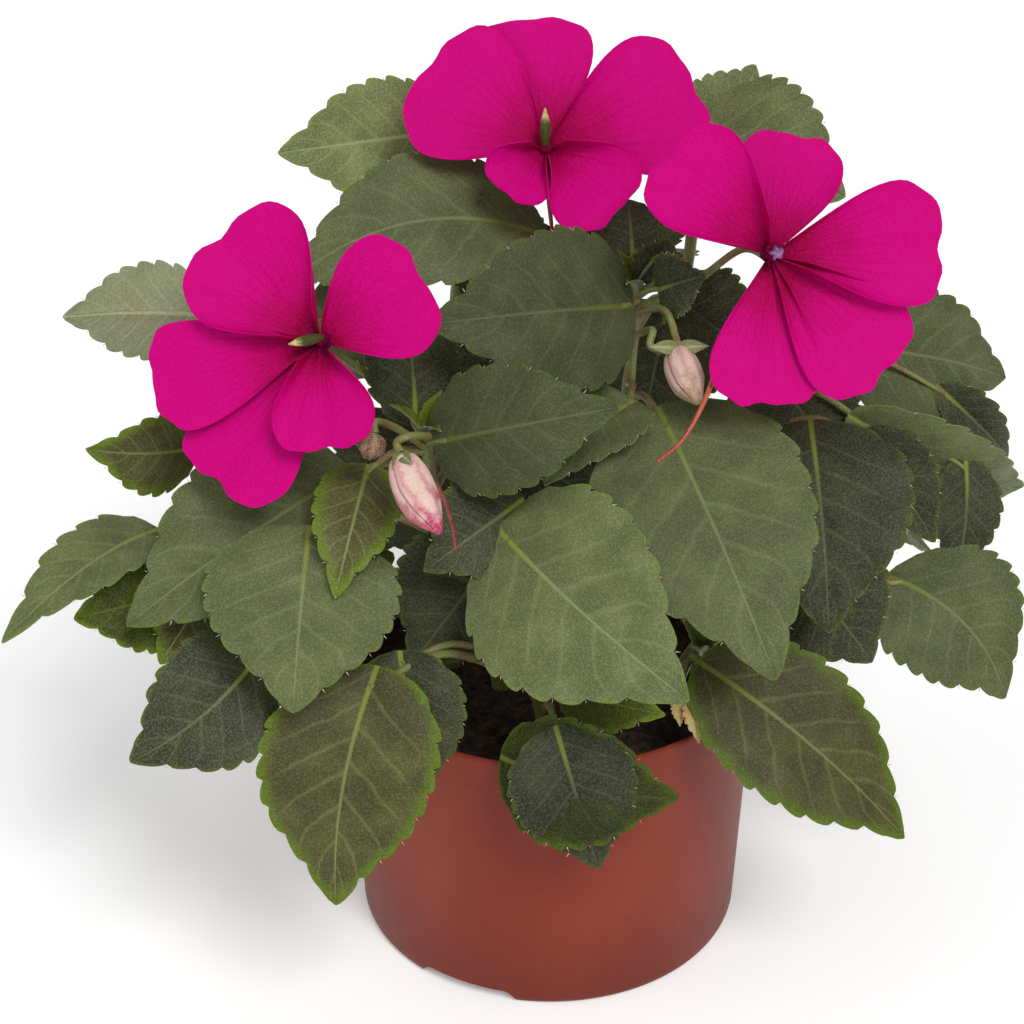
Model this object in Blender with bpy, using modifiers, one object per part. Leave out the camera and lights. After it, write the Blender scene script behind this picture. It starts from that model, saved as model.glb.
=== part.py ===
"""Busy lizzie in a round nursery pot: the pot, its soil, the leafy shoots, the blooms and the buds.

The origin is at the bottom centre of the pot, +Z is up and the photo looks along +Y, from above.
"""

import math
from dataclasses import dataclass, field

import bmesh
import bpy
from mathutils import Matrix, Vector

MM = 0.001

# Driving sizes of the pot and its filling, in metres.
POT_HEIGHT = 0.076
POT_RIM_RADIUS = 0.0525
POT_BODY_RADIUS = 0.0518
POT_FOOT_RADIUS = 0.0486
POT_WALL = 0.0014
RIM_BAND = 0.009
FOOT_HEIGHT = 0.0035
FOOT_WIDTH = 0.004
FLOOR_THICKNESS = 0.0016
NOTCHES = 3
NOTCH_FIRST = -116.0
NOTCH_HALF = 0.0134
DRAINS = 6
DRAIN_RADIUS = 0.0035
DRAIN_RING = 0.030
TURN_STEPS = 32
SOIL_TOP = 0.066
SOIL_DOME = 0.0025
CLEARANCE = 0.0003
STEM_RADIUS = 0.0024
STEM_SEAT = 0.046
STALK_RADIUS = 0.0011
BLADE_THICKNESS = 0.0007
PETAL_THICKNESS = 0.0008
NOTCH_CUT = 0.10
HUB_RADIUS = 0.0026
HUB_LENGTH = 0.0085
CAPSULE_RADIUS = 0.0016
CAPSULE_LENGTH = 0.005
PETAL_NOTCH = 0.12
PETAL_STEP = 1.3
PETAL_SIDES = (-1, -0.7, -0.32, 0, 0.32, 0.7, 1)
TWIG_RADIUS = 0.0010
SPUR_RADIUS = 0.0009

# The camera of the photo, fitted to the rim and the foot of the pot. Places seen in the photo are
# given as (across, down) in its 1024 x 1024 frame, with a depth behind the pot's axis in mm.
VIEW_DISTANCE = 0.600
VIEW_RISE = math.radians(30)
VIEW_FOCAL = 2450.0
VIEW_CENTRE = 512.0
VIEW_AIM = Vector((-0.0097, 0.0, 0.1145))
VIEW_AHEAD = Vector((0.0, math.cos(VIEW_RISE), -math.sin(VIEW_RISE)))
VIEW_RIGHT = Vector((1.0, 0.0, 0.0))
VIEW_UP = VIEW_RIGHT.cross(VIEW_AHEAD)
VIEW_EYE = VIEW_AIM - VIEW_DISTANCE * VIEW_AHEAD
SKYWARD = Vector((0.0, 0.0, 1.0))


def seen(across, down, depth):
    """The world point that the photo shows at (across, down), depth mm behind the pot's axis."""
    ray = VIEW_AHEAD
    ray = ray + VIEW_RIGHT * (across - VIEW_CENTRE) / VIEW_FOCAL
    ray = ray + VIEW_UP * (VIEW_CENTRE - down) / VIEW_FOCAL
    return VIEW_EYE + ray * (depth * MM - VIEW_EYE.y) / ray.y


def around(azimuth, reach, height):
    """A world point by its azimuth from +X in degrees, its distance from the axis and height in mm."""
    turn = math.radians(azimuth)
    return Vector((reach * math.cos(turn), reach * math.sin(turn), height)) * MM


@dataclass(frozen=True)
class Leaf:
    """A leaf blade on its stalk, with its shape in mm, degrees and shares of its length."""

    base: Vector
    tip: Vector
    width: float
    roll: float = 0.0
    arch: float = 0.10
    fold: float = 0.14
    sweep: float = 0.0
    joint: float = 0.9
    facing: Vector = field(default_factory=lambda: -VIEW_AHEAD)

    def frame(self):
        """Length, and the directions along the midrib, across the blade and out of its upper face."""
        along = self.tip - self.base
        length = along.length
        along.normalize()
        out = self.facing - self.facing.dot(along) * along
        out = Matrix.Rotation(math.radians(self.roll), 3, along) @ out.normalized()
        return length, along, out.cross(along), out

    def point(self, s, t):
        """The point of the blade at share s of the midrib and t from one edge, -1, to the other, 1."""
        length, along, across, out = self.frame()
        bow = 4 * s * (1 - s) * length
        half = 0.5 * self.width * MM * half_width(s)
        lift = self.fold * abs(t) * half - 0.35 * self.fold * t * t * half
        place = self.base + along * (s * length) + out * (bow * self.arch + lift)
        return place + across * (t * half + bow * self.sweep)


def half_width(s):
    """The leaf's outline: a broad rounded base and a long drawn tip, 1 at its widest."""
    widest = 0.37
    peak = widest**0.5 * (1 - widest) ** 0.85
    return max(s, 0.0) ** 0.5 * max(1 - s, 0.0) ** 0.85 / peak


def leaf(base, tip, width, **shape):
    """A leaf that the photo shows, with both its ends as (across, down, depth)."""
    return Leaf(seen(*base), seen(*tip), width, **shape)


def far_leaf(azimuth, base, tip, width, **shape):
    """A leaf on a side that the photo doesn't show, with each end as (reach, height) in mm."""
    outward = around(azimuth, 1.0, 0.0).normalized()
    return Leaf(
        around(azimuth, *base),
        around(azimuth, *tip),
        width,
        facing=SKYWARD + 0.6 * outward,
        **shape,
    )


@dataclass(frozen=True)
class Shoot:
    """A leafy stem: where it stands in the soil, the points it passes in mm, and its leaves."""

    foot: tuple
    course: tuple
    leaves: tuple

    def stem(self):
        """The stem's points, from its seat in the soil to its growing tip."""
        start = Vector((self.foot[0], self.foot[1], STEM_SEAT / MM)) * MM
        neck = Vector((self.foot[0], self.foot[1], SOIL_TOP / MM + 6)) * MM
        return [start, neck] + [Vector(point) * MM for point in self.course]


SHOOTS = {
    "shoot_top": Shoot(
        (8, 6),
        ((13, 8, 105), (18, 9, 140), (20, 10, 170)),
        (
            leaf((634, 306, 4), (425, 325, -22), 38, joint=0.97),
            leaf((636, 402, -8), (545, 486, -30), 26, roll=35, fold=0.5, joint=0.8),
            leaf((652, 287, 10), (668, 238, 16), 14, fold=0.6, joint=0.99),
            leaf((633, 262, 20), (628, 200, 34), 26, joint=0.96),
            leaf((658, 290, 6), (706, 275, 2), 16, fold=0.4, joint=0.98),
            leaf((657, 406, -12), (776, 680, -62), 50, roll=-8, arch=0.06, joint=0.75),
        ),
    ),
    "shoot_left": Shoot(
        (-13, -8),
        ((-20, -12, 98), (-27, -18, 125), (-30, -20, 147)),
        (
            leaf((433, 443, -24), (620, 407, -36), 30, joint=0.97),
            leaf((369, 465, -30), (335, 598, -58), 20, fold=0.3, joint=0.95),
            leaf((353, 472, -22), (127, 626, -52), 40, roll=10, joint=0.9),
            leaf((415, 425, -14), (398, 285, 6), 24, roll=20, joint=0.95),
            leaf((310, 525, -42), (293, 713, -68), 44, joint=0.7),
        ),
    ),
    "shoot_front": Shoot(
        (-2, -26),
        ((-6, -28, 88), (-10, -26, 105), (-12, -24, 118)),
        (
            leaf((498, 528, -34), (689, 701, -74), 48, roll=12, joint=0.95),
            leaf((524, 499, -26), (424, 571, -42), 26, joint=0.98),
            leaf((555, 725, -56), (598, 868, -68), 30, joint=0.35),
            leaf((500, 756, -55), (679, 797, -63), 30, sweep=-0.06, joint=0.3),
            leaf((560, 690, -40), (665, 715, -52), 16, joint=0.45),
            leaf((378, 665, -50), (336, 905, -74), 41, sweep=-0.05, joint=0.5),
            leaf((400, 650, -44), (418, 800, -60), 28, joint=0.55),
        ),
    ),
    "shoot_front_right": Shoot(
        (20, -16),
        ((28, -24, 82), (35, -30, 92)),
        (
            leaf((697, 661, -36), (904, 838, -52), 36, roll=-15, sweep=0.01, joint=0.95),
            leaf((885, 575, -10), (1005, 698, -22), 36, sweep=0.12, joint=0.7),
            leaf((692, 698, -42), (699, 743, -50), 6, fold=0.5, joint=0.96),
            leaf((678, 700, -41), (680, 726, -46), 4, fold=0.5, joint=0.93),
        ),
    ),
    "shoot_right": Shoot(
        (24, 10),
        ((42, 14, 100), (54, 18, 130), (60, 22, 150)),
        (
            leaf((835, 345, 30), (1005, 378, 46), 34, sweep=0.02, joint=0.98),
            leaf((848, 413, 12), (1023, 486, 40), 28, roll=35, fold=0.4, joint=0.9),
            leaf((935, 385, 30), (1007, 458, 42), 14, fold=0.4, joint=0.95),
            leaf((858, 432, 6), (935, 542, -8), 22, fold=0.4, joint=0.8),
            leaf((965, 458, 18), (953, 580, 6), 20, roll=-20, joint=0.85),
            leaf((810, 420, -6), (829, 633, -40), 44, joint=0.6),
            far_leaf(10, (64, 112), (102, 88), 28, joint=0.4),
        ),
    ),
    "shoot_far_left": Shoot(
        (-26, 2),
        ((-44, 0, 95), (-58, -6, 122), (-64, -8, 138)),
        (
            leaf((215, 315, -2), (63, 317, -14), 24, roll=160, joint=0.98),
            leaf((262, 340, 6), (158, 335, -4), 24, joint=0.95),
            leaf((200, 445, -15), (86, 449, -32), 22, roll=-30, joint=0.9),
            leaf((160, 530, -20), (2, 643, -66), 19, roll=25, fold=0.4, joint=0.75),
            leaf((222, 572, -30), (160, 664, -46), 22, fold=0.3, joint=0.6),
            leaf((190, 590, -30), (74, 619, -42), 25, joint=0.65),
            leaf((240, 598, -38), (215, 656, -46), 10, joint=0.55),
            leaf((262, 650, -46), (130, 762, -64), 31, sweep=0.07, joint=0.4),
        ),
    ),
    "shoot_back_left": Shoot(
        (-16, 20),
        ((-22, 30, 110), (-24, 36, 150), (-20, 38, 180)),
        (
            leaf((450, 130, 52), (278, 153, 44), 30, roll=-10, joint=0.98),
            leaf((550, 238, 26), (276, 292, 2), 34, roll=10, sweep=-0.12, joint=0.85),
            far_leaf(112, (30, 168), (72, 160), 34, joint=0.93),
            far_leaf(94, (32, 150), (72, 136), 34, joint=0.8),
            far_leaf(140, (48, 138), (92, 116), 38, joint=0.7),
            far_leaf(114, (44, 116), (80, 84), 36, joint=0.5),
            far_leaf(165, (58, 108), (100, 84), 34, joint=0.4),
            far_leaf(128, (46, 92), (84, 60), 34, joint=0.25),
            far_leaf(92, (44, 94), (75, 64), 34, joint=0.3),
            far_leaf(154, (46, 86), (82, 60), 28, joint=0.2),
        ),
    ),
    "shoot_back_right": Shoot(
        (12, 26),
        ((24, 34, 112), (32, 38, 150), (36, 42, 176)),
        (
            leaf((683, 140, 50), (755, 65, 60), 24, sweep=-0.15, joint=0.98),
            leaf((705, 120, 46), (845, 197, 30), 38, sweep=-0.05, joint=0.9),
            far_leaf(70, (50, 160), (80, 148), 34, joint=0.85),
            far_leaf(46, (52, 140), (94, 112), 38, joint=0.7),
            far_leaf(72, (44, 122), (80, 96), 36, joint=0.5),
            far_leaf(22, (62, 96), (100, 66), 36, joint=0.35),
            far_leaf(56, (46, 92), (86, 58), 36, joint=0.25),
        ),
    ),
}


@dataclass(frozen=True)
class Petal:
    """A petal: its direction in the bloom and half spread in degrees, its length and rise in mm."""

    angle: float
    length: float
    spread: float
    rise: float


@dataclass(frozen=True)
class Bloom:
    """An open flower: its centre, the way it faces, its petals from back to front, and its spur."""

    centre: Vector
    lean: tuple
    petals: tuple
    spur: tuple

    def frame(self):
        """The directions to the bloom's right, to its top, and out of its face."""
        out = Vector(self.lean).normalized()
        right = SKYWARD.cross(out).normalized()
        return right, out.cross(right), out

    def back(self):
        """The point just behind the hub, where a stalk ends."""
        return self.centre - self.frame()[2] * (HUB_RADIUS + 2 * CLEARANCE)

    def under(self):
        """The point just under the hub, where the spur begins."""
        return self.centre - SKYWARD * (HUB_RADIUS + 2 * CLEARANCE)

    def petal_point(self, one, layer, s, t):
        """The point of a petal at share s of its length and t from one side, -1, to the other, 1."""
        right, top, out = self.frame()
        turn = math.radians(one.angle + t * one.spread)
        notch = PETAL_NOTCH * max(0.0, 1 - abs(t) / 0.3)
        reach = one.length * MM * (1 - 0.16 * t**2 - 0.1 * t**4 - notch)
        away = 0.5 * HUB_RADIUS + s * (reach - 0.5 * HUB_RADIUS)
        lift = (one.rise * s**2 + PETAL_STEP * layer * s**0.5) * MM
        return self.centre + away * (right * math.cos(turn) + top * math.sin(turn)) + out * lift


BLOOMS = {
    "bloom_top": Bloom(
        seen(545.5, 149, 23),
        (0.0, -0.8, 0.6),
        (
            Petal(102, 33, 36, 0.0),
            Petal(147, 35, 36, 1.5),
            Petal(20, 39, 32, 1.5),
            Petal(234, 19, 42, 3.0),
            Petal(316, 25, 40, 3.0),
        ),
        (seen(549, 200, 20), seen(553, 240, 14)),
    ),
    "bloom_right": Bloom(
        seen(770, 255, -10),
        (0.1, -0.85, 0.5),
        (
            Petal(72, 29, 30, 0.0),
            Petal(263, 35, 26, 1.5),
            Petal(310, 38, 26, 1.5),
            Petal(1, 39, 26, 3.0),
            Petal(145, 34, 42, 3.0),
        ),
        (
            seen(735, 325, -8),
            seen(722, 350, -16),
            seen(707, 395, -28),
            seen(684, 438, -36),
            seen(657, 462, -40),
        ),
    ),
    "bloom_left": Bloom(
        seen(320, 342, -32),
        (-0.15, -0.8, 0.55),
        (
            Petal(240, 40, 24, 0.0),
            Petal(34, 29, 38, 1.5),
            Petal(200, 39, 22, 1.5),
            Petal(289, 26, 42, 3.0),
            Petal(137, 34, 36, 3.0),
        ),
        (seen(330, 380, -20), seen(350, 415, -24), seen(352, 432, -28)),
    ),
}


@dataclass(frozen=True)
class Bud:
    """A closed bud: the middles of its sections from the stalk to the tip, with radii in mm."""

    course: tuple
    radii: tuple

    def lead(self):
        """The last two points of the stalk that bears the bud, in line with the bud."""
        along = (self.course[1] - self.course[0]).normalized()
        seat = self.course[0] - 1.2 * CLEARANCE * along
        return seat - 0.0025 * along, seat


BUDS = {
    "bud_pink": Bud(
        (
            seen(401, 454, -49),
            seen(403, 460, -50),
            seen(408, 474, -53),
            seen(415, 492, -56),
            seen(425, 510, -60),
            seen(435, 525, -63),
            seen(440, 534, -64),
        ),
        (1.2, 3.0, 4.4, 4.8, 4.0, 2.0, 0.5),
    ),
    "bud_pale": Bud(
        (
            seen(678, 349, -11),
            seen(679, 354, -12),
            seen(682, 367, -16),
            seen(688, 383, -20),
            seen(695, 397, -23),
            seen(698, 405, -24),
        ),
        (1.2, 3.0, 4.3, 4.2, 2.2, 0.5),
    ),
    "bud_dry": Bud(
        (seen(374, 434, -43), seen(373, 440, -44), seen(370, 450, -46), seen(366, 459, -47)),
        (1.0, 3.2, 3.4, 0.8),
    ),
}


@dataclass(frozen=True)
class Twig:
    """A flower's or bud's stalk: the shoot that bears it, its start on the stem, and its course."""

    shoot: str
    joint: float
    course: tuple


TWIGS = (
    Twig("shoot_top", 0.93, (seen(578, 250, 18), seen(566, 190, 36), BLOOMS["bloom_top"].back())),
    Twig("shoot_top", 0.96, (seen(690, 285, 8), seen(740, 250, 6), BLOOMS["bloom_right"].back())),
    Twig("shoot_left", 0.98, (seen(398, 400, -10), seen(350, 362, -14), BLOOMS["bloom_left"].back())),
    Twig("shoot_left", 0.99, (seen(428, 436, -36), seen(410, 436, -46), *BUDS["bud_pink"].lead())),
    Twig("shoot_left", 0.96, (seen(396, 428, -32), *BUDS["bud_dry"].lead())),
    Twig("shoot_top", 0.95, (seen(664, 310, 0), *BUDS["bud_pale"].lead())),
    Twig("shoot_top", 0.9, (seen(652, 330, -6), seen(650, 345, -10), seen(662, 352, -11))),
)


def clear_scene():
    """Take every object out of the scene."""
    for thing in list(bpy.data.objects):
        bpy.data.objects.remove(thing, do_unlink=True)


def material(name, colour, roughness):
    """A Principled material with a linear colour and a roughness."""
    made = bpy.data.materials.new(name)
    made.use_nodes = True
    shader = made.node_tree.nodes["Principled BSDF"]
    shader.inputs["Base Color"].default_value = (*colour, 1.0)
    shader.inputs["Roughness"].default_value = roughness
    return made


def collection(name):
    """A new collection in the scene."""
    made = bpy.data.collections.new(name)
    bpy.context.scene.collection.children.link(made)
    return made


def add_object(name, mesh, home):
    """An object for a mesh, in the collection home."""
    thing = bpy.data.objects.new(name, mesh)
    home.objects.link(thing)
    return thing


def apply_modifiers(thing):
    """Make the object's evaluated shape its own mesh."""
    graph = bpy.context.evaluated_depsgraph_get()
    mesh = bpy.data.meshes.new_from_object(thing.evaluated_get(graph))
    thing.modifiers.clear()
    thing.data = mesh


def tube(name, points, radii, home, sides=1):
    """A closed tube through points with a radius at each, as a mesh object."""
    curve = bpy.data.curves.new(name, "CURVE")
    curve.dimensions = "3D"
    curve.bevel_depth = 1.0
    curve.bevel_resolution = sides
    curve.use_fill_caps = True
    spline = curve.splines.new("POLY")
    spline.points.add(len(points) - 1)
    for knot, place, radius in zip(spline.points, points, radii):
        knot.co = (*place, 1.0)
        knot.radius = radius
    drawn = add_object(name + "_path", curve, home)
    bpy.context.view_layer.update()
    graph = bpy.context.evaluated_depsgraph_get()
    mesh = bpy.data.meshes.new_from_object(drawn.evaluated_get(graph))
    mesh.name = name
    weld(mesh)
    made = add_object(name, mesh, home)
    made.matrix_world = drawn.matrix_world
    bpy.data.objects.remove(drawn, do_unlink=True)
    return made


def weld(mesh):
    """Close the loose caps of a tube, split it into triangles and turn its faces outwards."""
    shape = bmesh.new()
    shape.from_mesh(mesh)
    bmesh.ops.remove_doubles(shape, verts=shape.verts, dist=1e-6)
    bmesh.ops.triangulate(shape, faces=shape.faces)
    bmesh.ops.recalc_face_normals(shape, faces=shape.faces)
    shape.to_mesh(mesh)
    shape.free()


def sheet(name, place, stations, across, thickness, home):
    """A thin closed blade: place(s, t) gives its middle surface over the given stations."""
    shape = bmesh.new()
    bmesh.ops.create_grid(shape, x_segments=len(stations) - 1, y_segments=len(across) - 1, size=1.0)
    for vertex in shape.verts:
        column = round((vertex.co.x + 1) / 2 * (len(stations) - 1))
        row = round((vertex.co.y + 1) / 2 * (len(across) - 1))
        vertex.co = place(stations[column], across[row])
    bmesh.ops.remove_doubles(shape, verts=shape.verts, dist=1e-5)
    bmesh.ops.triangulate(shape, faces=shape.faces)
    mesh = bpy.data.meshes.new(name)
    shape.to_mesh(mesh)
    shape.free()
    made = add_object(name, mesh, home)
    solid = made.modifiers.new("thickness", "SOLIDIFY")
    solid.thickness = thickness
    solid.offset = 0.0
    apply_modifiers(made)
    return made


def leaf_stations(width):
    """Shares of the midrib where the margin bulges and where it is notched, from base to tip."""
    first, last = 0.14, 0.86
    teeth = 5 if width >= 36 else 4 if width >= 24 else 3
    step = (last - first) / teeth
    stations = [0.0, 0.035]
    for tooth in range(teeth):
        stations.append(first + (tooth + 0.55) * step)
        stations.append(first + (tooth + 1) * step)
    return stations + [1.0]


def blade(name, one, home):
    """A leaf blade with its toothed margin."""
    stations = leaf_stations(one.width)
    notches = {stations[i] for i in range(3, len(stations) - 1, 2)}

    def place(s, t):
        return one.point(s, t * (1 - NOTCH_CUT) if s in notches else t)

    return sheet(name, place, stations, (-1, 0, 1), BLADE_THICKNESS, home)


def along_path(points, share):
    """The point at a share of the way along a polyline."""
    lengths = [(b - a).length for a, b in zip(points, points[1:])]
    left = share * sum(lengths)
    for start, end, length in zip(points, points[1:], lengths):
        if left <= length:
            return start.lerp(end, left / length)
        left -= length
    return points[-1]


def stalk(name, one, stem, home):
    """A leaf's stalk, from inside the stem into the base of the blade."""
    root = along_path(stem, one.joint)
    middle = root.lerp(one.base, 0.55) + SKYWARD * 0.12 * (one.base - root).length
    share = min(1.0, 0.6 + one.width / 80)
    radii = [STALK_RADIUS * share * part for part in (1.1, 1.0, 0.8)]
    return tube(name, [root, middle, one.point(0.09, 0)], radii, home, sides=0)


def drop_scraps(thing):
    """Keep the largest connected piece of a mesh, without the loose scraps that a union can leave."""
    shape = bmesh.new()
    shape.from_mesh(thing.data)
    pieces = []
    left = set(shape.verts)
    while left:
        front = [left.pop()]
        piece = set(front)
        while front:
            for edge in front.pop().link_edges:
                for vertex in edge.verts:
                    if vertex in left:
                        left.remove(vertex)
                        piece.add(vertex)
                        front.append(vertex)
        pieces.append(piece)
    pieces.sort(key=len)
    scraps = [vertex for piece in pieces[:-1] for vertex in piece]
    bmesh.ops.delete(shape, geom=scraps, context="VERTS")
    shape.to_mesh(thing.data)
    shape.free()


def fuse(core, others):
    """Join every object of the collection into core, which takes the union's mesh."""
    join = core.modifiers.new("union", "BOOLEAN")
    join.operation = "UNION"
    join.operand_type = "COLLECTION"
    join.collection = others
    # This solver joins the many crossing blades in seconds.
    join.solver = "MANIFOLD"
    apply_modifiers(core)
    for thing in list(others.objects):
        bpy.data.objects.remove(thing, do_unlink=True)
    bpy.data.collections.remove(others)
    drop_scraps(core)


def shoot(name, plan, home, green):
    """A leafy stem with its stalks and blades in one solid."""
    parts = collection(name + "_parts")
    stem = plan.stem()
    radii = [STEM_RADIUS * (1 - 0.5 * i / (len(stem) - 1)) for i in range(len(stem))]
    core = tube(name, stem, radii, home, sides=2)
    for number, one in enumerate(plan.leaves):
        blade(f"{name}_blade_{number}", one, parts)
        stalk(f"{name}_stalk_{number}", one, stem, parts)
    for number, twig in enumerate(twig for twig in TWIGS if twig.shoot == name):
        course = [along_path(stem, twig.joint), *twig.course]
        tube(f"{name}_twig_{number}", course, [TWIG_RADIUS] * len(course), parts)
    fuse(core, parts)
    core.data.materials.append(green)
    return core


def turned(name, profile, home):
    """A turned solid: a profile of (radius, height) in metres, from the axis round to the axis."""
    mesh = bpy.data.meshes.new(name)
    ends = [(i, i + 1) for i in range(len(profile) - 1)]
    mesh.from_pydata([(radius, 0, height) for radius, height in profile], ends, [])
    made = add_object(name, mesh, home)
    turn = made.modifiers.new("turn", "SCREW")
    turn.steps = TURN_STEPS
    turn.render_steps = TURN_STEPS
    turn.use_merge_vertices = True
    turn.merge_threshold = 1e-6
    apply_modifiers(made)
    made.data.shade_smooth()
    made.data.set_sharp_from_angle(angle=math.radians(30))
    return made


def body_radius(height):
    """The pot's outer radius below the rim band, which tapers to the foot."""
    share = height / (POT_HEIGHT - RIM_BAND)
    return POT_FOOT_RADIUS + 0.0004 + share * (POT_BODY_RADIUS - POT_FOOT_RADIUS - 0.0004)


def cut(target, cutter):
    """Take the cutter's shape out of the target."""
    hole = target.modifiers.new("cut", "BOOLEAN")
    hole.operation = "DIFFERENCE"
    hole.object = cutter
    apply_modifiers(target)
    bpy.data.objects.remove(cutter, do_unlink=True)


def cylinder(name, centre, radius, bottom, top, home):
    """An upright cylinder with twelve sides."""
    shape = bmesh.new()
    bmesh.ops.create_cone(
        shape, cap_ends=True, segments=12, radius1=radius, radius2=radius, depth=top - bottom
    )
    bmesh.ops.translate(shape, verts=shape.verts, vec=(*centre, (top + bottom) / 2))
    mesh = bpy.data.meshes.new(name)
    shape.to_mesh(mesh)
    shape.free()
    return add_object(name, mesh, home)


def foot_notch(number, home):
    """A notch through the foot, wider at the ground than under the floor."""
    shape = bmesh.new()
    bmesh.ops.create_cube(shape, size=1.0)
    for vertex in shape.verts:
        top = vertex.co.z > 0
        vertex.co.x = 0.047 + 0.014 * vertex.co.x
        vertex.co.y = 2 * NOTCH_HALF * vertex.co.y * (0.86 if top else 1.06)
        vertex.co.z = FOOT_HEIGHT - 0.0002 if top else -0.001
    turn = math.radians(NOTCH_FIRST + number * 360 / NOTCHES)
    bmesh.ops.rotate(shape, verts=shape.verts, matrix=Matrix.Rotation(turn, 3, "Z"))
    mesh = bpy.data.meshes.new("notch")
    shape.to_mesh(mesh)
    shape.free()
    return add_object("notch", mesh, home)


def pot(home, cutters, clay):
    """The nursery pot: a rim band with a lip and shelf, a tapered wall, a floor and a notched foot."""
    floor_top = FOOT_HEIGHT + FLOOR_THICKNESS
    band_foot = POT_HEIGHT - RIM_BAND
    profile = [
        (0.0, floor_top),
        (body_radius(floor_top) - POT_WALL - 0.002, floor_top),
        (body_radius(0.008) - POT_WALL, 0.008),
        (body_radius(band_foot) - POT_WALL, band_foot + 0.001),
        (POT_RIM_RADIUS - 0.0036, POT_HEIGHT - 0.0026),
        (POT_RIM_RADIUS - 0.0013, POT_HEIGHT - 0.0022),
        (POT_RIM_RADIUS - 0.0011, POT_HEIGHT - 0.0003),
        (POT_RIM_RADIUS - 0.0007, POT_HEIGHT),
        (POT_RIM_RADIUS - 0.0002, POT_HEIGHT - 0.0002),
        (POT_RIM_RADIUS, POT_HEIGHT - 0.0008),
        (POT_RIM_RADIUS - 0.0002, band_foot + 0.0003),
        (POT_BODY_RADIUS, band_foot),
        (body_radius(0.0026), 0.0026),
        (POT_FOOT_RADIUS - 0.0002, 0.001),
        (POT_FOOT_RADIUS - 0.001, 0.0002),
        (POT_FOOT_RADIUS - 0.0018, 0.0),
        (POT_FOOT_RADIUS - FOOT_WIDTH, 0.0),
        (POT_FOOT_RADIUS - FOOT_WIDTH - 0.0004, FOOT_HEIGHT),
        (0.0, FOOT_HEIGHT),
    ]
    made = turned("pot", profile, home)
    for number in range(NOTCHES):
        cut(made, foot_notch(number, cutters))
    for number in range(DRAINS):
        turn = 2 * math.pi * (number + 0.5) / DRAINS
        centre = (DRAIN_RING * math.cos(turn), DRAIN_RING * math.sin(turn))
        cut(made, cylinder("drain", centre, DRAIN_RADIUS, 0.002, 0.007, cutters))
    made.data.materials.append(clay)


def soil(home, cutters, earth):
    """The potting soil, domed, with a plain hole for each stem."""
    floor_top = FOOT_HEIGHT + FLOOR_THICKNESS + CLEARANCE
    wall = POT_WALL + CLEARANCE
    profile = [
        (0.0, SOIL_TOP + SOIL_DOME),
        (0.02, SOIL_TOP + 0.85 * SOIL_DOME),
        (0.038, SOIL_TOP + 0.4 * SOIL_DOME),
        (body_radius(SOIL_TOP) - wall - 0.0004, SOIL_TOP),
        (body_radius(0.008) - wall - 0.0002, 0.0085),
        (body_radius(floor_top) - wall - 0.0025, floor_top),
        (0.0, floor_top),
    ]
    made = turned("soil", profile, home)
    for plan in SHOOTS.values():
        centre = (plan.foot[0] * MM, plan.foot[1] * MM)
        radius = (STEM_RADIUS + 2 * CLEARANCE) / math.cos(math.pi / 12)
        bottom = STEM_SEAT - CLEARANCE
        cut(made, cylinder("stem_hole", centre, radius, bottom, SOIL_TOP + 0.008, cutters))
    made.data.materials.append(earth)


def ball(name, centre, axis, radius, length, home):
    """A ball drawn out along an axis, for a hub or a seed capsule."""
    shape = bmesh.new()
    bmesh.ops.create_uvsphere(shape, u_segments=8, v_segments=6, radius=radius)
    stretch = Matrix.Diagonal((1, 1, length / (2 * radius)))
    turn = axis.to_track_quat("Z", "Y").to_matrix()
    bmesh.ops.transform(shape, verts=shape.verts, matrix=(turn @ stretch).to_4x4())
    bmesh.ops.translate(shape, verts=shape.verts, vec=centre)
    mesh = bpy.data.meshes.new(name)
    shape.to_mesh(mesh)
    shape.free()
    return add_object(name, mesh, home)


def petal(name, plan, one, layer, home):
    """One petal, heart shaped, as a thin blade."""

    def place(s, t):
        return plan.petal_point(one, layer, s, t)

    return sheet(name, place, (0.0, 0.45, 1.0), PETAL_SIDES, PETAL_THICKNESS, home)


def bloom(name, plan, home, crimson, green, red):
    """A bloom: its five petals on a hub, the seed capsule at its heart, and the spur behind it."""
    out = plan.frame()[2]
    parts = collection(name + "_parts")
    hub_middle = plan.centre + out * (0.5 * HUB_LENGTH - HUB_RADIUS)
    hub = ball(name + "_petals", hub_middle, out, HUB_RADIUS, HUB_LENGTH, home)
    for number, one in enumerate(plan.petals):
        petal(f"{name}_petal_{number}", plan, one, number, parts)
    fuse(hub, parts)
    hub.data.materials.append(crimson)
    ahead = HUB_LENGTH - HUB_RADIUS + CLEARANCE + 0.5 * CAPSULE_LENGTH
    capsule_middle = plan.centre + out * ahead
    capsule = ball(name + "_capsule", capsule_middle, out, CAPSULE_RADIUS, CAPSULE_LENGTH, home)
    capsule.data.materials.append(green)
    course = [plan.under(), *plan.spur]
    radii = [SPUR_RADIUS * (1 - 0.55 * i / (len(course) - 1)) for i in range(len(course))]
    spur = tube(name + "_spur", course, radii, home)
    spur.data.materials.append(red)


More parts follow.
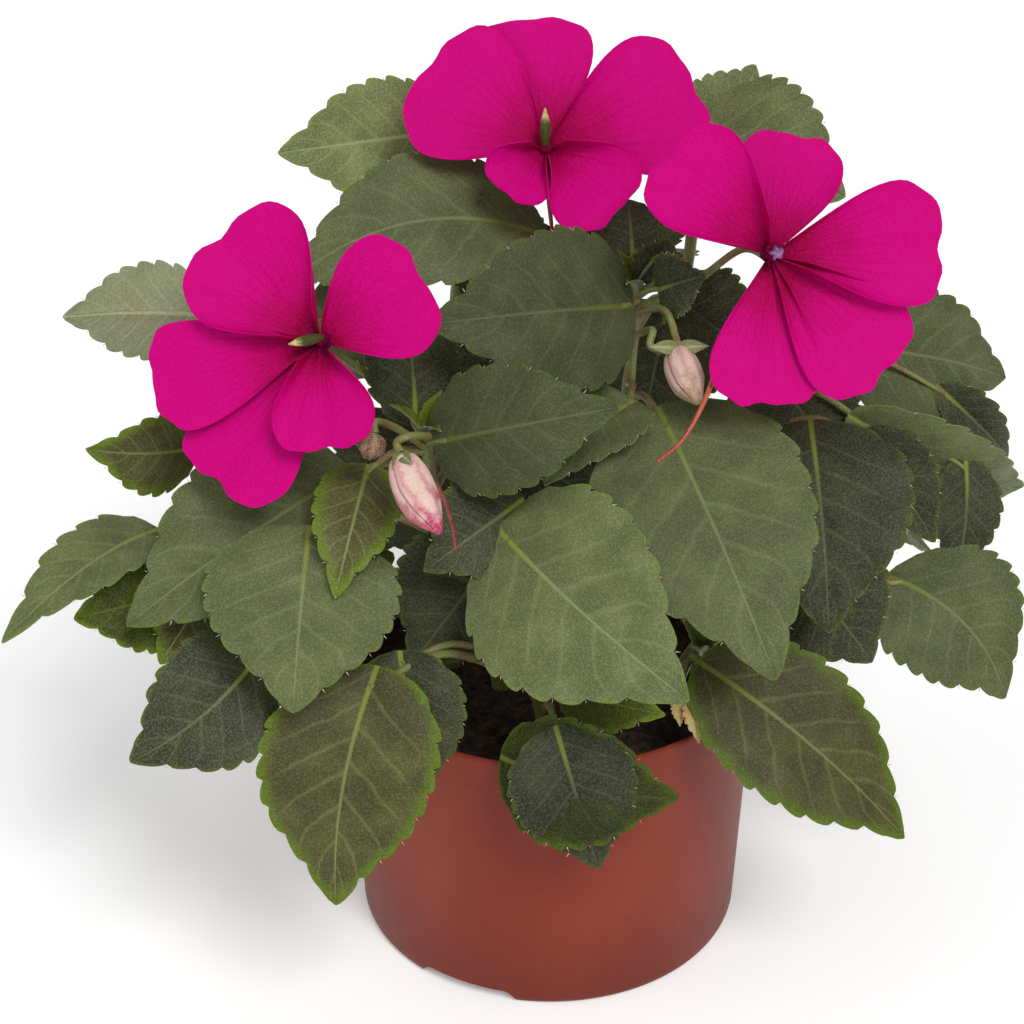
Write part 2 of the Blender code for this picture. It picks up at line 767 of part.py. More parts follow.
def main():
    clear_scene()
    home = collection("busy_lizzie")
    cutters = collection("cutters")
    clay = material("terracotta_plastic", (0.26, 0.05, 0.025), 0.4)
    earth = material("peat", (0.02, 0.013, 0.009), 0.95)
    green = material("leaf_green", (0.07, 0.12, 0.03), 0.5)
    crimson = material("petal_magenta", (0.62, 0.0, 0.17), 0.5)
    red = material("spur_red", (0.45, 0.05, 0.02), 0.45)
    pale = material("bud_pink", (0.7, 0.35, 0.36), 0.5)
    brown = material("bud_brown", (0.3, 0.17, 0.08), 0.8)
    pot(home, cutters, clay)
    soil(home, cutters, earth)
    for name, plan in SHOOTS.items():
        shoot(name, plan, home, green)
    for name, plan in BLOOMS.items():
        bloom(name, plan, home, crimson, green, red)
    for name, plan in BUDS.items():
        body = tube(name, plan.course, [radius * MM for radius in plan.radii], home, sides=3)
        body.data.materials.append(brown if name == "bud_dry" else pale)


if __name__ == "__main__":
    main()
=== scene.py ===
"""The looks of a busy lizzie in its nursery pot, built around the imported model.

Lengths are in metres unless a name or a docstring says mm. The plan of leaves, blooms and buds
gives the places that the CAD source has, so each piece follows the solid that it replaces. Some
things are in this file alone: ten inner leaves, the young leaves, sepals, bristles and crumbs,
the pink bud's spur, and petals that are spread and aimed a little otherwise.
"""

import logging
import math
from dataclasses import dataclass, field
from enum import Enum
from typing import Any, Callable, Iterable, Sequence

import bmesh
import bpy
import numpy as np
from mathutils import Matrix, Vector


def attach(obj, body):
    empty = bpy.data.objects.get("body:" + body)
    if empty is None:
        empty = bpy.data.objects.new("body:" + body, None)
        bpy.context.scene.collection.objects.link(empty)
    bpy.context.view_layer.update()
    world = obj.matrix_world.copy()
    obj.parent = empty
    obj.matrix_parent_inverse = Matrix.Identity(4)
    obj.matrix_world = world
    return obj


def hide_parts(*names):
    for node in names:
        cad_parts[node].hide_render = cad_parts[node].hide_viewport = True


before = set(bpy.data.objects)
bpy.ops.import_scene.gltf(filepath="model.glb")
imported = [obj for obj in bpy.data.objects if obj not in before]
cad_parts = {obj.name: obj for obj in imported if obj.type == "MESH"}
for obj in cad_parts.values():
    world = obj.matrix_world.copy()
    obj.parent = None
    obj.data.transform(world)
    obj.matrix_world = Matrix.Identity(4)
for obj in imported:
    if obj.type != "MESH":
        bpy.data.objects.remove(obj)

LOG = logging.getLogger("busy_lizzie")
MM = 0.001
SEED = 7
BODY = "root"
SKYWARD = np.array((0.0, 0.0, 1.0))
Colour = tuple[float, float, float, float]
Value = Any


def unit(vector: np.ndarray) -> np.ndarray:
    """The vector, or each vector of an array, at length one."""
    return vector / np.maximum(np.linalg.norm(vector, axis=-1, keepdims=True), 1e-12)


def turned(vector: np.ndarray, axis: np.ndarray, degrees: float) -> np.ndarray:
    """A vector turned about an axis.

    Args:
        vector: The vector.
        axis: The axis, of length one.
        degrees: The turn.

    Returns:
        The turned vector.
    """
    angle = math.radians(degrees)
    level = vector * math.cos(angle) + np.cross(axis, vector) * math.sin(angle)
    return level + axis * float(axis @ vector) * (1 - math.cos(angle))


def smooth(low: float, high: float, value: np.ndarray) -> np.ndarray:
    """A smooth step from 0 at low to 1 at high."""
    share = np.clip((value - low) / (high - low), 0.0, 1.0)
    return share * share * (3 - 2 * share)


def srgb(red: float, green: float, blue: float) -> Colour:
    """A linear colour from display values of 0 to 255."""
    linear = [
        c / 12.92 if c <= 0.04045 else ((c + 0.055) / 1.055) ** 2.4
        for c in (red / 255, green / 255, blue / 255)
    ]
    return (linear[0], linear[1], linear[2], 1.0)


def between(one: Colour, other: Colour, share: float) -> Colour:
    """A colour that lies a share of the way from one to another."""
    mixed = [(1 - share) * a + share * b for a, b in zip(one, other)]
    return (mixed[0], mixed[1], mixed[2], mixed[3])


@dataclass(frozen=True)
class View:
    """The camera, fitted to the rim and the foot of the pot in a frame of 1024 x 1024."""

    distance: float = 0.600
    rise: float = math.radians(30)
    focal: float = 2450.0
    frame_side: float = 1024.0
    aim: tuple[float, float, float] = (-0.0097, 0.0, 0.1145)
    sensor: float = 36.0

    def ahead(self) -> np.ndarray:
        """The direction in which the camera looks."""
        return np.array((0.0, math.cos(self.rise), -math.sin(self.rise)))

    def up(self) -> np.ndarray:
        """The direction that is up in the picture."""
        return np.array((0.0, math.sin(self.rise), math.cos(self.rise)))

    def eye(self) -> np.ndarray:
        """Where the camera stands."""
        return np.array(self.aim) - self.distance * self.ahead()

    def seen(self, across: float, down: float, depth: float) -> np.ndarray:
        """The world point seen at a place of the picture.

        Args:
            across: Pixels from the left of the 1024 x 1024 frame.
            down: Pixels from its top.
            depth: The distance behind the pot's axis, in mm.

        Returns:
            The point, in metres.
        """
        middle = self.frame_side / 2
        ray = self.ahead() + self.up() * (middle - down) / self.focal
        ray = ray + np.array((1.0, 0.0, 0.0)) * (across - middle) / self.focal
        eye = self.eye()
        return eye + ray * (depth * MM - eye[1]) / ray[1]

    def place(self) -> bpy.types.Object:
        """Add the camera to the scene.

        Returns:
            The camera object.
        """
        lens = bpy.data.cameras.new("photo_view")
        lens.sensor_width = self.sensor
        lens.lens = self.sensor * self.focal / self.frame_side
        lens.clip_start = 0.02
        camera = bpy.data.objects.new("photo_view", lens)
        bpy.context.scene.collection.objects.link(camera)
        camera.location = Vector(self.eye())
        camera.rotation_euler = (math.pi / 2 - self.rise, 0.0, 0.0)
        bpy.context.scene.camera = camera
        return camera


VIEW = View()
seen = VIEW.seen


def around(azimuth: float, reach: float, height: float) -> np.ndarray:
    """A world point by its azimuth from +X in degrees, with its reach and height in mm."""
    turn = math.radians(azimuth)
    return np.array((reach * math.cos(turn), reach * math.sin(turn), height)) * MM


def course_through(points: Sequence[np.ndarray], steps: int) -> np.ndarray:
    """A smooth course through points.

    Args:
        points: The points to pass through.
        steps: The number of steps between two of them.

    Returns:
        The points of the course, one row each.
    """
    knots = np.array(points)
    if len(knots) == 2:
        share = np.linspace(0, 1, steps + 1)[:, None]
        return knots[0] * (1 - share) + knots[1] * share
    ends = np.vstack([2 * knots[0] - knots[1], knots, 2 * knots[-1] - knots[-2]])
    share = np.linspace(0, 1, steps, endpoint=False)[:, None]
    rows = []
    for a, b, c, d in zip(ends, ends[1:], ends[2:], ends[3:]):
        curve = 2 * b + (c - a) * share + (2 * a - 5 * b + 4 * c - d) * share**2
        rows.append(0.5 * (curve + (3 * b - a - 3 * c + d) * share**3))
    rows.append(knots[-1:])
    return np.vstack(rows)


def along_path(points: Sequence[np.ndarray], share: float) -> np.ndarray:
    """The point at a share of the way along a polyline.

    Args:
        points: The polyline.
        share: The share of its length, from 0 to 1.

    Returns:
        The point.
    """
    lengths = [float(np.linalg.norm(b - a)) for a, b in zip(points, points[1:])]
    left = share * sum(lengths)
    for start, end, length in zip(points, points[1:], lengths):
        if left <= length:
            return start + (end - start) * left / length
        left -= length
    return points[-1]


class Tone(Enum):
    """The colourings that the leaves show. One of them is the dusky colours made darker for leaves
    that stand in shade: painted shade.
    """

    DUSKY = "dusky"
    # Painted shade: a darker copy of the dusky colours, for leaves inside the tuft.
    PAINTED_SHADE = "deep"
    EDGED = "edged"
    BRIGHT = "bright"
    PALE = "pale"
    BRACT = "bract"


@dataclass(frozen=True)
class Leaf:
    """A leaf blade on its stalk, with its shape in mm, degrees and shares of its length."""

    base: np.ndarray
    tip: np.ndarray
    width: float
    roll: float = 0.0
    arch: float = 0.10
    fold: float = 0.14
    sweep: float = 0.0
    joint: float = 0.9
    tone: Tone = Tone.DUSKY
    facing: np.ndarray = field(default_factory=lambda: -VIEW.ahead())
    drawn: float = 0.22
    # light multiplies the leaf's colour: partly painted light and shade, partly the leaf's own
    # tone.
    light: float = 1.0
    widest: float = 0.37

    def frame(self) -> tuple[float, np.ndarray, np.ndarray, np.ndarray]:
        """The blade's own frame.

        Returns:
            Its length, and the directions along the midrib, across the blade and out of its face.
        """
        along = self.tip - self.base
        length = float(np.linalg.norm(along))
        along = along / length
        out = unit(self.facing - float(self.facing @ along) * along)
        out = turned(out, along, self.roll)
        return length, along, np.cross(out, along), out

    def half(self, s: np.ndarray) -> np.ndarray:
        """Half the blade's width.

        Args:
            s: Shares of the midrib.

        Returns:
            The half width at each, in metres.
        """
        peak = self.widest**0.5 * (1 - self.widest) ** 0.85
        outline = np.maximum(s, 0.0) ** 0.5 * np.maximum(1 - s, 0.0) ** 0.85 / peak
        outline = outline * (1 - self.drawn * smooth(0.62, 0.90, s) * (1 - smooth(0.93, 1.0, s)))
        return 0.5 * self.width * MM * outline

    def surface(self, s: np.ndarray, t: np.ndarray, lift: Value = 0.0) -> np.ndarray:
        """Points of the blade's middle surface.

        Args:
            s: Shares of the midrib.
            t: Places from one edge, -1, to the other, 1.
            lift: The height of the relief above the plain blade.

        Returns:
            The points, with their three numbers in the last axis.
        """
        length, along, across, out = self.frame()
        bow = 4 * s * (1 - s) * length
        half = self.half(s)
        rise = self.fold * np.abs(t) * half - 0.35 * self.fold * t * t * half
        rise = rise + bow * self.arch + lift
        side = t * half + bow * self.sweep
        steps = zip((along, out, across), (s * length, rise, side))
        return self.base + sum(way * step[..., None] for way, step in steps)


def leaf(base: tuple, tip: tuple, width: float, tone: Tone = Tone.DUSKY, **shape: float) -> Leaf:
    """A leaf on the front, with both its ends as (across, down, depth)."""
    return Leaf(seen(*base), seen(*tip), width, tone=tone, **shape)


def far_leaf(azimuth: float, base: tuple, tip: tuple, width: float, **shape: float) -> Leaf:
    """A leaf on the far sides.

    Args:
        azimuth: Its direction from +X, in degrees.
        base: Where its blade begins, as (reach, height) in mm.
        tip: Where it ends.
        width: Its width, in mm.
        **shape: Other fields of Leaf.

    Returns:
        The leaf.
    """
    facing = SKYWARD + 0.6 * around(azimuth, 1.0, 0.0) / MM
    ends = (around(azimuth, *base), around(azimuth, *tip))
    return Leaf(*ends, width, facing=facing, **shape)


@dataclass(frozen=True)
class Shoot:
    """A leafy stem: where it stands in the soil, the points it passes in mm, and its leaves."""

    foot: tuple[float, float]
    course: tuple
    leaves: tuple[Leaf, ...]
    seat: float = 46.0
    neck: float = 72.0

    def stem(self) -> list[np.ndarray]:
        """The stem's points, from its seat in the soil to its growing tip."""
        rows = [(*self.foot, self.seat), (*self.foot, self.neck), *self.course]
        return [np.array(row) * MM for row in rows]


# Each leaf's light= multiplies its colour: partly painted light and shade, partly the leaf's own
# tone.
SHOOTS = {
    "top": Shoot(
        (8, 6),
        ((13, 8, 105), (18, 9, 140), (20, 10, 170)),
        (
            leaf((634, 306, 4), (425, 325, -22), 38, joint=0.97, light=0.52),
            leaf((636, 402, -8), (545, 486, -30), 26, roll=35, fold=0.5, joint=0.8),
            leaf((652, 287, 10), (668, 238, 16), 14, Tone.PAINTED_SHADE, fold=0.6, joint=0.99),
            leaf((633, 262, 20), (628, 200, 34), 26, Tone.PAINTED_SHADE, joint=0.96),
            leaf((658, 290, 6), (706, 275, 2), 16, Tone.PAINTED_SHADE, fold=0.4, joint=0.98),
            leaf((657, 406, -12), (776, 680, -62), 50, roll=-8, arch=0.06, joint=0.75, light=0.84),
            leaf((606, 292, 24), (436, 268, 30), 28, Tone.PAINTED_SHADE, joint=0.93),
            leaf((668, 300, 30), (640, 436, 24), 34, Tone.PAINTED_SHADE, joint=0.9),
            leaf((668, 296, 32), (748, 352, 28), 28, Tone.PAINTED_SHADE, joint=0.92),
            leaf((570, 330, 34), (442, 392, 30), 32, Tone.PAINTED_SHADE, joint=0.9),
        ),
    ),
    "left": Shoot(
        (-13, -8),
        ((-20, -12, 98), (-27, -18, 125), (-30, -20, 147)),
        (
            leaf((433, 443, -24), (620, 407, -36), 30, joint=0.97, light=0.6),
            leaf((369, 465, -30), (335, 598, -58), 20, Tone.EDGED, fold=0.3, joint=0.95),
            leaf((353, 472, -22), (127, 626, -52), 40, roll=10, joint=0.9, light=0.8),
            leaf((415, 425, -14), (398, 285, 6), 24, Tone.PAINTED_SHADE, roll=20, joint=0.95),
            leaf((310, 525, -42), (293, 713, -68), 44, joint=0.7),
            leaf((486, 432, 4), (604, 506, 0), 32, Tone.PAINTED_SHADE, joint=0.85),
            leaf((446, 424, 12), (366, 548, 6), 42, Tone.PAINTED_SHADE, joint=0.85),
            leaf((424, 300, 20), (292, 326, 8), 30, joint=0.97, light=0.7),
        ),
    ),
    "front": Shoot(
        (-2, -26),
        ((-6, -28, 88), (-10, -26, 105), (-12, -24, 118)),
        (
            leaf((498, 528, -34), (689, 701, -74), 48, roll=12, joint=0.95),
            leaf((524, 499, -26), (424, 571, -42), 26, Tone.PAINTED_SHADE, joint=0.98),
            leaf((555, 725, -56), (598, 868, -68), 30, Tone.PAINTED_SHADE, joint=0.35, light=0.8),
            leaf(
                (500, 756, -55), (679, 797, -63), 30, Tone.BRIGHT,
                sweep=-0.06, joint=0.3, light=0.55,
            ),
            leaf((560, 690, -40), (665, 715, -52), 16, Tone.BRIGHT, joint=0.45),
            leaf(
                (378, 665, -50), (336, 905, -74), 41, Tone.EDGED,
                sweep=-0.05, joint=0.5, light=0.8,
            ),
            leaf((400, 650, -44), (418, 800, -60), 28, Tone.PAINTED_SHADE, joint=0.55),
            leaf((500, 548, -20), (412, 664, -34), 36, Tone.PAINTED_SHADE, joint=0.8),
        ),
    ),
    "front_right": Shoot(
        (20, -16),
        ((28, -24, 82), (35, -30, 92)),
        (
            leaf(
                (697, 661, -36), (904, 838, -52), 36, Tone.EDGED,
                roll=-15, sweep=0.01, joint=0.95, light=0.84,
            ),
            leaf((885, 575, -10), (1005, 698, -22), 36, sweep=0.12, joint=0.7, light=0.82),
            leaf((692, 698, -42), (699, 743, -50), 6, Tone.BRACT, fold=0.5, joint=0.96),
            leaf((678, 700, -41), (680, 726, -46), 4, Tone.BRACT, fold=0.5, joint=0.93),
            leaf((790, 556, -12), (872, 662, -24), 34, Tone.PAINTED_SHADE, joint=0.8),
        ),
    ),
    "right": Shoot(
        (24, 10),
        ((42, 14, 100), (54, 18, 130), (60, 22, 150)),
        (
            leaf((835, 345, 30), (1005, 378, 46), 34, sweep=0.02, joint=0.98, light=0.7),
            leaf((848, 413, 12), (1023, 486, 40), 28, roll=35, fold=0.4, joint=0.9),
            leaf((935, 385, 30), (1007, 458, 42), 14, Tone.PAINTED_SHADE, fold=0.4, joint=0.95),
            leaf((858, 432, 6), (935, 542, -8), 22, Tone.PAINTED_SHADE, fold=0.4, joint=0.8),
            leaf((965, 458, 18), (953, 580, 6), 20, Tone.PAINTED_SHADE, roll=-20, joint=0.85),
            leaf((810, 420, -6), (829, 633, -40), 44, Tone.PAINTED_SHADE, joint=0.6, light=0.84),
            far_leaf(10, (64, 112), (102, 88), 28, joint=0.4),
            leaf((752, 352, 26), (850, 476, 12), 34, Tone.PAINTED_SHADE, joint=0.7),
        ),
    ),
    "far_left": Shoot(
        (-26, 2),
        ((-44, 0, 95), (-58, -6, 122), (-64, -8, 138)),
        (
            leaf((215, 315, -2), (63, 317, -14), 24, Tone.PALE, roll=160, joint=0.98),
            leaf((262, 340, 6), (158, 335, -4), 24, joint=0.95),
            leaf((200, 445, -15), (86, 449, -32), 22, Tone.EDGED, roll=-30, joint=0.9),
            leaf((160, 530, -20), (2, 643, -66), 19, roll=25, fold=0.4, joint=0.75),
            leaf((222, 572, -30), (160, 664, -46), 22, Tone.EDGED, fold=0.3, joint=0.6),
            leaf((190, 590, -30), (74, 619, -42), 25, Tone.BRIGHT, joint=0.65),
            leaf((240, 598, -38), (215, 656, -46), 10, Tone.PAINTED_SHADE, joint=0.55),
            leaf(
                (262, 650, -46), (130, 762, -64), 31, Tone.PAINTED_SHADE,
                sweep=0.07, joint=0.4, light=1.15,
            ),
        ),
    ),
    "back_left": Shoot(
        (-16, 20),
        ((-22, 30, 110), (-24, 36, 150), (-20, 38, 180)),
        (
            leaf((450, 130, 52), (278, 153, 44), 30, roll=-10, joint=0.98, light=1.6),
            leaf((550, 238, 26), (276, 292, 2), 34, roll=10, sweep=-0.12, joint=0.85, light=0.8),
            far_leaf(112, (30, 168), (72, 160), 34, joint=0.93),
            far_leaf(94, (32, 150), (72, 136), 34, joint=0.8),
            far_leaf(140, (48, 138), (92, 116), 38, joint=0.7),
            far_leaf(114, (44, 116), (80, 84), 36, joint=0.5),
            far_leaf(165, (58, 108), (100, 84), 34, joint=0.4),
            far_leaf(128, (46, 92), (84, 60), 34, joint=0.25, tone=Tone.EDGED),
            far_leaf(92, (44, 94), (75, 64), 34, joint=0.3, tone=Tone.EDGED),
            far_leaf(154, (46, 86), (82, 60), 28, joint=0.2, tone=Tone.BRIGHT),
        ),
    ),
    "back_right": Shoot(
        (12, 26),
        ((24, 34, 112), (32, 38, 150), (36, 42, 176)),
        (
            leaf((683, 140, 50), (755, 65, 60), 24, sweep=-0.15, joint=0.98, light=1.15),
            leaf((705, 120, 46), (845, 197, 30), 38, sweep=-0.05, joint=0.9, light=1.15),
            far_leaf(70, (50, 160), (80, 148), 34, joint=0.85),
            far_leaf(46, (52, 140), (94, 112), 38, joint=0.7),
            far_leaf(72, (44, 122), (80, 96), 36, joint=0.5),
            far_leaf(22, (62, 96), (100, 66), 36, joint=0.35, tone=Tone.EDGED),
            far_leaf(56, (46, 92), (86, 58), 36, joint=0.25),
        ),
    ),
}


@dataclass(frozen=True)
class Petal:
    """A petal: its direction in the bloom and half spread in degrees, its length and rise in mm."""

    angle: float
    length: float
    spread: float
    rise: float


@dataclass(frozen=True)
class Bloom:
    """An open flower: its centre, the way it faces, its petals from back to front, and its spur."""

    centre: np.ndarray
    lean: tuple[float, float, float]
    petals: tuple[Petal, ...]
    spur: tuple[np.ndarray, ...]
    breadth: float = 1.22
    heart: tuple[tuple[float, float, float], ...] = ((0.0, 0.0, 5.0), (0.0, 0.0, 11.0))
    anthers: bool = False
    hub_radius: float = 0.0026
    step: float = 1.3
    gap: float = 0.0006

    def frame(self) -> tuple[np.ndarray, np.ndarray, np.ndarray]:
        """The bloom's own frame.

        Returns:
            The directions to its right, to its top, and out of its face.
        """
        out = unit(np.array(self.lean))
        right = unit(np.cross(SKYWARD, out))
        return right, np.cross(out, right), out

    def back(self) -> np.ndarray:
        """The point just behind the hub, where a stalk ends."""
        return self.centre - self.frame()[2] * (self.hub_radius + self.gap)

    def under(self) -> np.ndarray:
        """The point just under the hub, where the spur begins."""
        return self.centre - SKYWARD * (self.hub_radius + self.gap)

    def spot(self, right_mm: float, top_mm: float, out_mm: float) -> np.ndarray:
        """A point given from the centre in mm, along the bloom's own directions."""
        right, top, out = self.frame()
        return self.centre + (right * right_mm + top * top_mm + out * out_mm) * MM


BLOOMS = {
    "top": Bloom(
        seen(545.5, 149, 23),
        (0.0, -0.8, 0.6),
        (
            Petal(102, 33, 36, 0.0),
            Petal(147, 35, 36, 1.5),
            Petal(20, 39, 32, 1.5),
            Petal(232, 16, 40, 3.0),
            Petal(315, 24.5, 36, 3.0),
        ),
        (seen(549, 200, 20), seen(553, 240, 14)),
        heart=((0.0, 0.0, 2.5), (-0.2, 7.4, 8.5)),
    ),
    "right": Bloom(
        seen(770, 255, -10),
        (0.1, -0.85, 0.5),
        (
            Petal(72, 29, 30, 0.0),
            Petal(263, 35, 26, 1.5),
            Petal(310, 38, 26, 1.5),
            Petal(1, 39, 26, 3.0),
            Petal(135, 33.5, 28, 3.0),
        ),
        (
            seen(735, 325, -8),
            seen(722, 350, -16),
            seen(707, 395, -28),
            seen(684, 438, -36),
            seen(657, 462, -40),
        ),
        heart=((0.0, 1.6, 3.0), (0.0, -1.2, 9.0)),
        anthers=True,
    ),
    "left": Bloom(
        seen(320, 342, -32),
        (-0.15, -0.8, 0.55),
        (
            Petal(240, 40, 24, 0.0),
            Petal(36, 28, 39, 1.5),
            Petal(200, 39, 22, 1.5),
            Petal(284, 25.5, 33, 3.0),
            Petal(139, 32.5, 36, 3.0),
        ),
        (seen(330, 380, -20), seen(350, 415, -24), seen(352, 432, -28)),
        heart=((1.0, 0.8, 2.5), (-4.6, -2.2, 9.0)),
    ),
}


@dataclass(frozen=True)
class Bud:
    """A closed bud: the middles of its sections from the stalk to the tip, with radii in mm."""

    course: tuple[np.ndarray, ...]
    radii: tuple[float, ...]
    folds: int
    twist: float
    relief: float

    def lead(self) -> tuple[np.ndarray, np.ndarray]:
        """The end of the stalk that bears the bud.

        Returns:
            Its last two points, in line with the bud.
        """
        along = unit(self.course[1] - self.course[0])
        seat = self.course[0] - 0.36 * MM * along
        return seat - 2.5 * MM * along, seat


BUDS = {
    "pink": Bud(
        (
            seen(401, 454, -49),
            seen(403, 460, -50),
            seen(408, 474, -53),
            seen(415, 492, -56),
            seen(425, 510, -60),
            seen(435, 525, -63),
            seen(440, 534, -64),
        ),
        (1.2, 3.0, 4.4, 4.8, 4.0, 2.0, 0.5),
        folds=3,
        twist=1.3,
        relief=0.05,
    ),
    "pale": Bud(
        (
            seen(678, 349, -11),
            seen(679, 354, -12),
            seen(682, 367, -16),
            seen(688, 383, -20),
            seen(695, 397, -23),
            seen(698, 405, -24),
        ),
        (1.2, 3.0, 4.3, 4.2, 2.2, 0.5),
        folds=4,
        twist=0.7,
        relief=0.06,
    ),
    "dry": Bud(
        (seen(374, 434, -43), seen(373, 440, -44), seen(370, 450, -46), seen(366, 459, -47)),
        (1.0, 3.2, 3.4, 0.8),
        folds=5,
        twist=0.4,
        relief=0.12,
    ),
}


PINK_SPUR = (
    seen(414, 480, -54),
    seen(434, 484, -50),
    seen(444, 500, -49),
    seen(452, 525, -50),
    seen(456, 550, -51),
)


@dataclass(frozen=True)
class Twig:
    """A flower's or bud's stalk: the shoot that bears it, its start on the stem, and its course."""

    shoot: str
    joint: float
    course: tuple[np.ndarray, ...]


TWIGS = (
    Twig("top", 0.93, (seen(578, 250, 18), seen(566, 190, 36), BLOOMS["top"].back())),
    Twig("top", 0.96, (seen(690, 285, 8), seen(740, 250, 6), BLOOMS["right"].back())),
    Twig("left", 0.98, (seen(398, 400, -10), seen(350, 362, -14), BLOOMS["left"].back())),
    Twig("left", 0.99, (seen(428, 436, -36), seen(410, 436, -46), *BUDS["pink"].lead())),
    Twig("left", 0.96, (seen(396, 428, -32), *BUDS["dry"].lead())),
    Twig("top", 0.95, (seen(664, 310, 0), *BUDS["pale"].lead())),
    Twig("top", 0.9, (seen(652, 330, -6), seen(650, 345, -10), seen(662, 352, -11))),
)


class Tree:
    """A node tree under construction."""

    def __init__(self, tree: bpy.types.NodeTree) -> None:
        """Start on the tree of a material or of Geometry Nodes."""
        self.tree = tree

    def put(self, value: Value, socket: bpy.types.NodeSocket) -> None:
        """Give a socket a value.

        Args:
            value: A number, a colour or the output of another node.
            socket: The input to fill.
        """
        if isinstance(value, bpy.types.NodeSocket):
            self.tree.links.new(value, socket)
        else:
            socket.default_value = value

    def node(self, kind: str, inputs: dict[Any, Value], output: Any = 0,
             **settings: Value) -> Value:
        """Add a node.

        Args:
            kind: The node's type.
            inputs: Its inputs by name or number.
            output: The output to return, by name or number.
            **settings: Properties of the node.

        Returns:
            That output's socket.
        """
        made = self.tree.nodes.new(kind)
        for key, value in settings.items():
            setattr(made, key, value)
        for key, value in inputs.items():
            self.put(value, made.inputs[key])
        return made.outputs[output]


class Paint(Tree):
    """The node tree of one material, with a Principled shader at its end."""

    def __init__(self, name: str) -> None:
        """Start a material.

        Args:
            name: Its name.
        """
        self.material = bpy.data.materials.new(name)
        self.material.use_nodes = True
        super().__init__(self.material.node_tree)
        self.shader = self.tree.nodes["Principled BSDF"]

    def maths(self, operation: str, *values: Value) -> Value:
        """The result of a Math node."""
        return self.node("ShaderNodeMath", dict(enumerate(values)), operation=operation)

    def step(self, value: Value, low: float, high: float) -> Value:
        """A smooth step of a value, from 0 at low to 1 at high."""
        inputs = {"Value": value, "From Min": low, "From Max": high}
        return self.node("ShaderNodeMapRange", inputs, interpolation_type="SMOOTHSTEP")

    def mix(self, share: Value, one: Value, other: Value, blend: str = "MIX") -> Value:
        """A mix of two colours."""
        inputs = {0: share, 6: one, 7: other}
        return self.node("ShaderNodeMix", inputs, 2, data_type="RGBA", blend_type=blend)

    def place(self) -> Value:
        """The Object coordinates."""
        return self.node("ShaderNodeTexCoord", {}, "Object")

    def attribute(self, name: str, output: str = "Fac") -> Value:
        """A number or vector that the mesh keeps under a name."""
        return self.node("ShaderNodeAttribute", {}, output, attribute_name=name)

    def own_map(self) -> tuple[Value, Value]:
        """The piece's own map.

        Returns:
            The shares along and across the piece.
        """
        parts = self.tree.nodes.new("ShaderNodeSeparateXYZ")
        self.put(self.node("ShaderNodeUVMap", {}, uv_map="blade"), parts.inputs[0])
        return parts.outputs[0], parts.outputs[1]

    def dots(self, size_mm: float, low: float, high: float, share: float,
             detail: float = 2.0) -> Value:
        """The strength of specks, up to share where a noise goes from low to high."""
        return self.maths("MULTIPLY", self.step(self.grain(size_mm, detail), low, high), share)

    def grain(self, size_mm: float, detail: float = 2.0, stretch: Value = None) -> Value:
        """A noise.

        Args:
            size_mm: About how large its lumps are.
            detail: How fine it goes.
            stretch: The coordinates, where they aren't the plain ones.

        Returns:
            The noise, from 0 to 1.
        """
        vector = self.place() if stretch is None else stretch
        inputs = {"Vector": vector, "Scale": 1 / (size_mm * MM), "Detail": detail}
        return self.node("ShaderNodeTexNoise", inputs)

    def relief(self, height: Value, depth_mm: float, strength: float = 1.0) -> None:
        """Give the shader a bump of that depth from a height of 0 to 1."""
        inputs = {"Height": height, "Distance": depth_mm * MM, "Strength": strength}
        self.put(self.node("ShaderNodeBump", inputs), self.shader.inputs["Normal"])

    def finish(self, colour: Value, rough: Value, **sockets: Value) -> bpy.types.Material:
        """Set the shader's colour, roughness and other inputs.

        Args:
            colour: The base colour.
            rough: The roughness.
            **sockets: Other inputs, by name with underscores for spaces.

        Returns:
            The material.
        """
        self.put(colour, self.shader.inputs["Base Color"])
        self.put(rough, self.shader.inputs["Roughness"])
        for key, value in sockets.items():
            self.put(value, self.shader.inputs[key.replace("_", " ")])
        return self.material


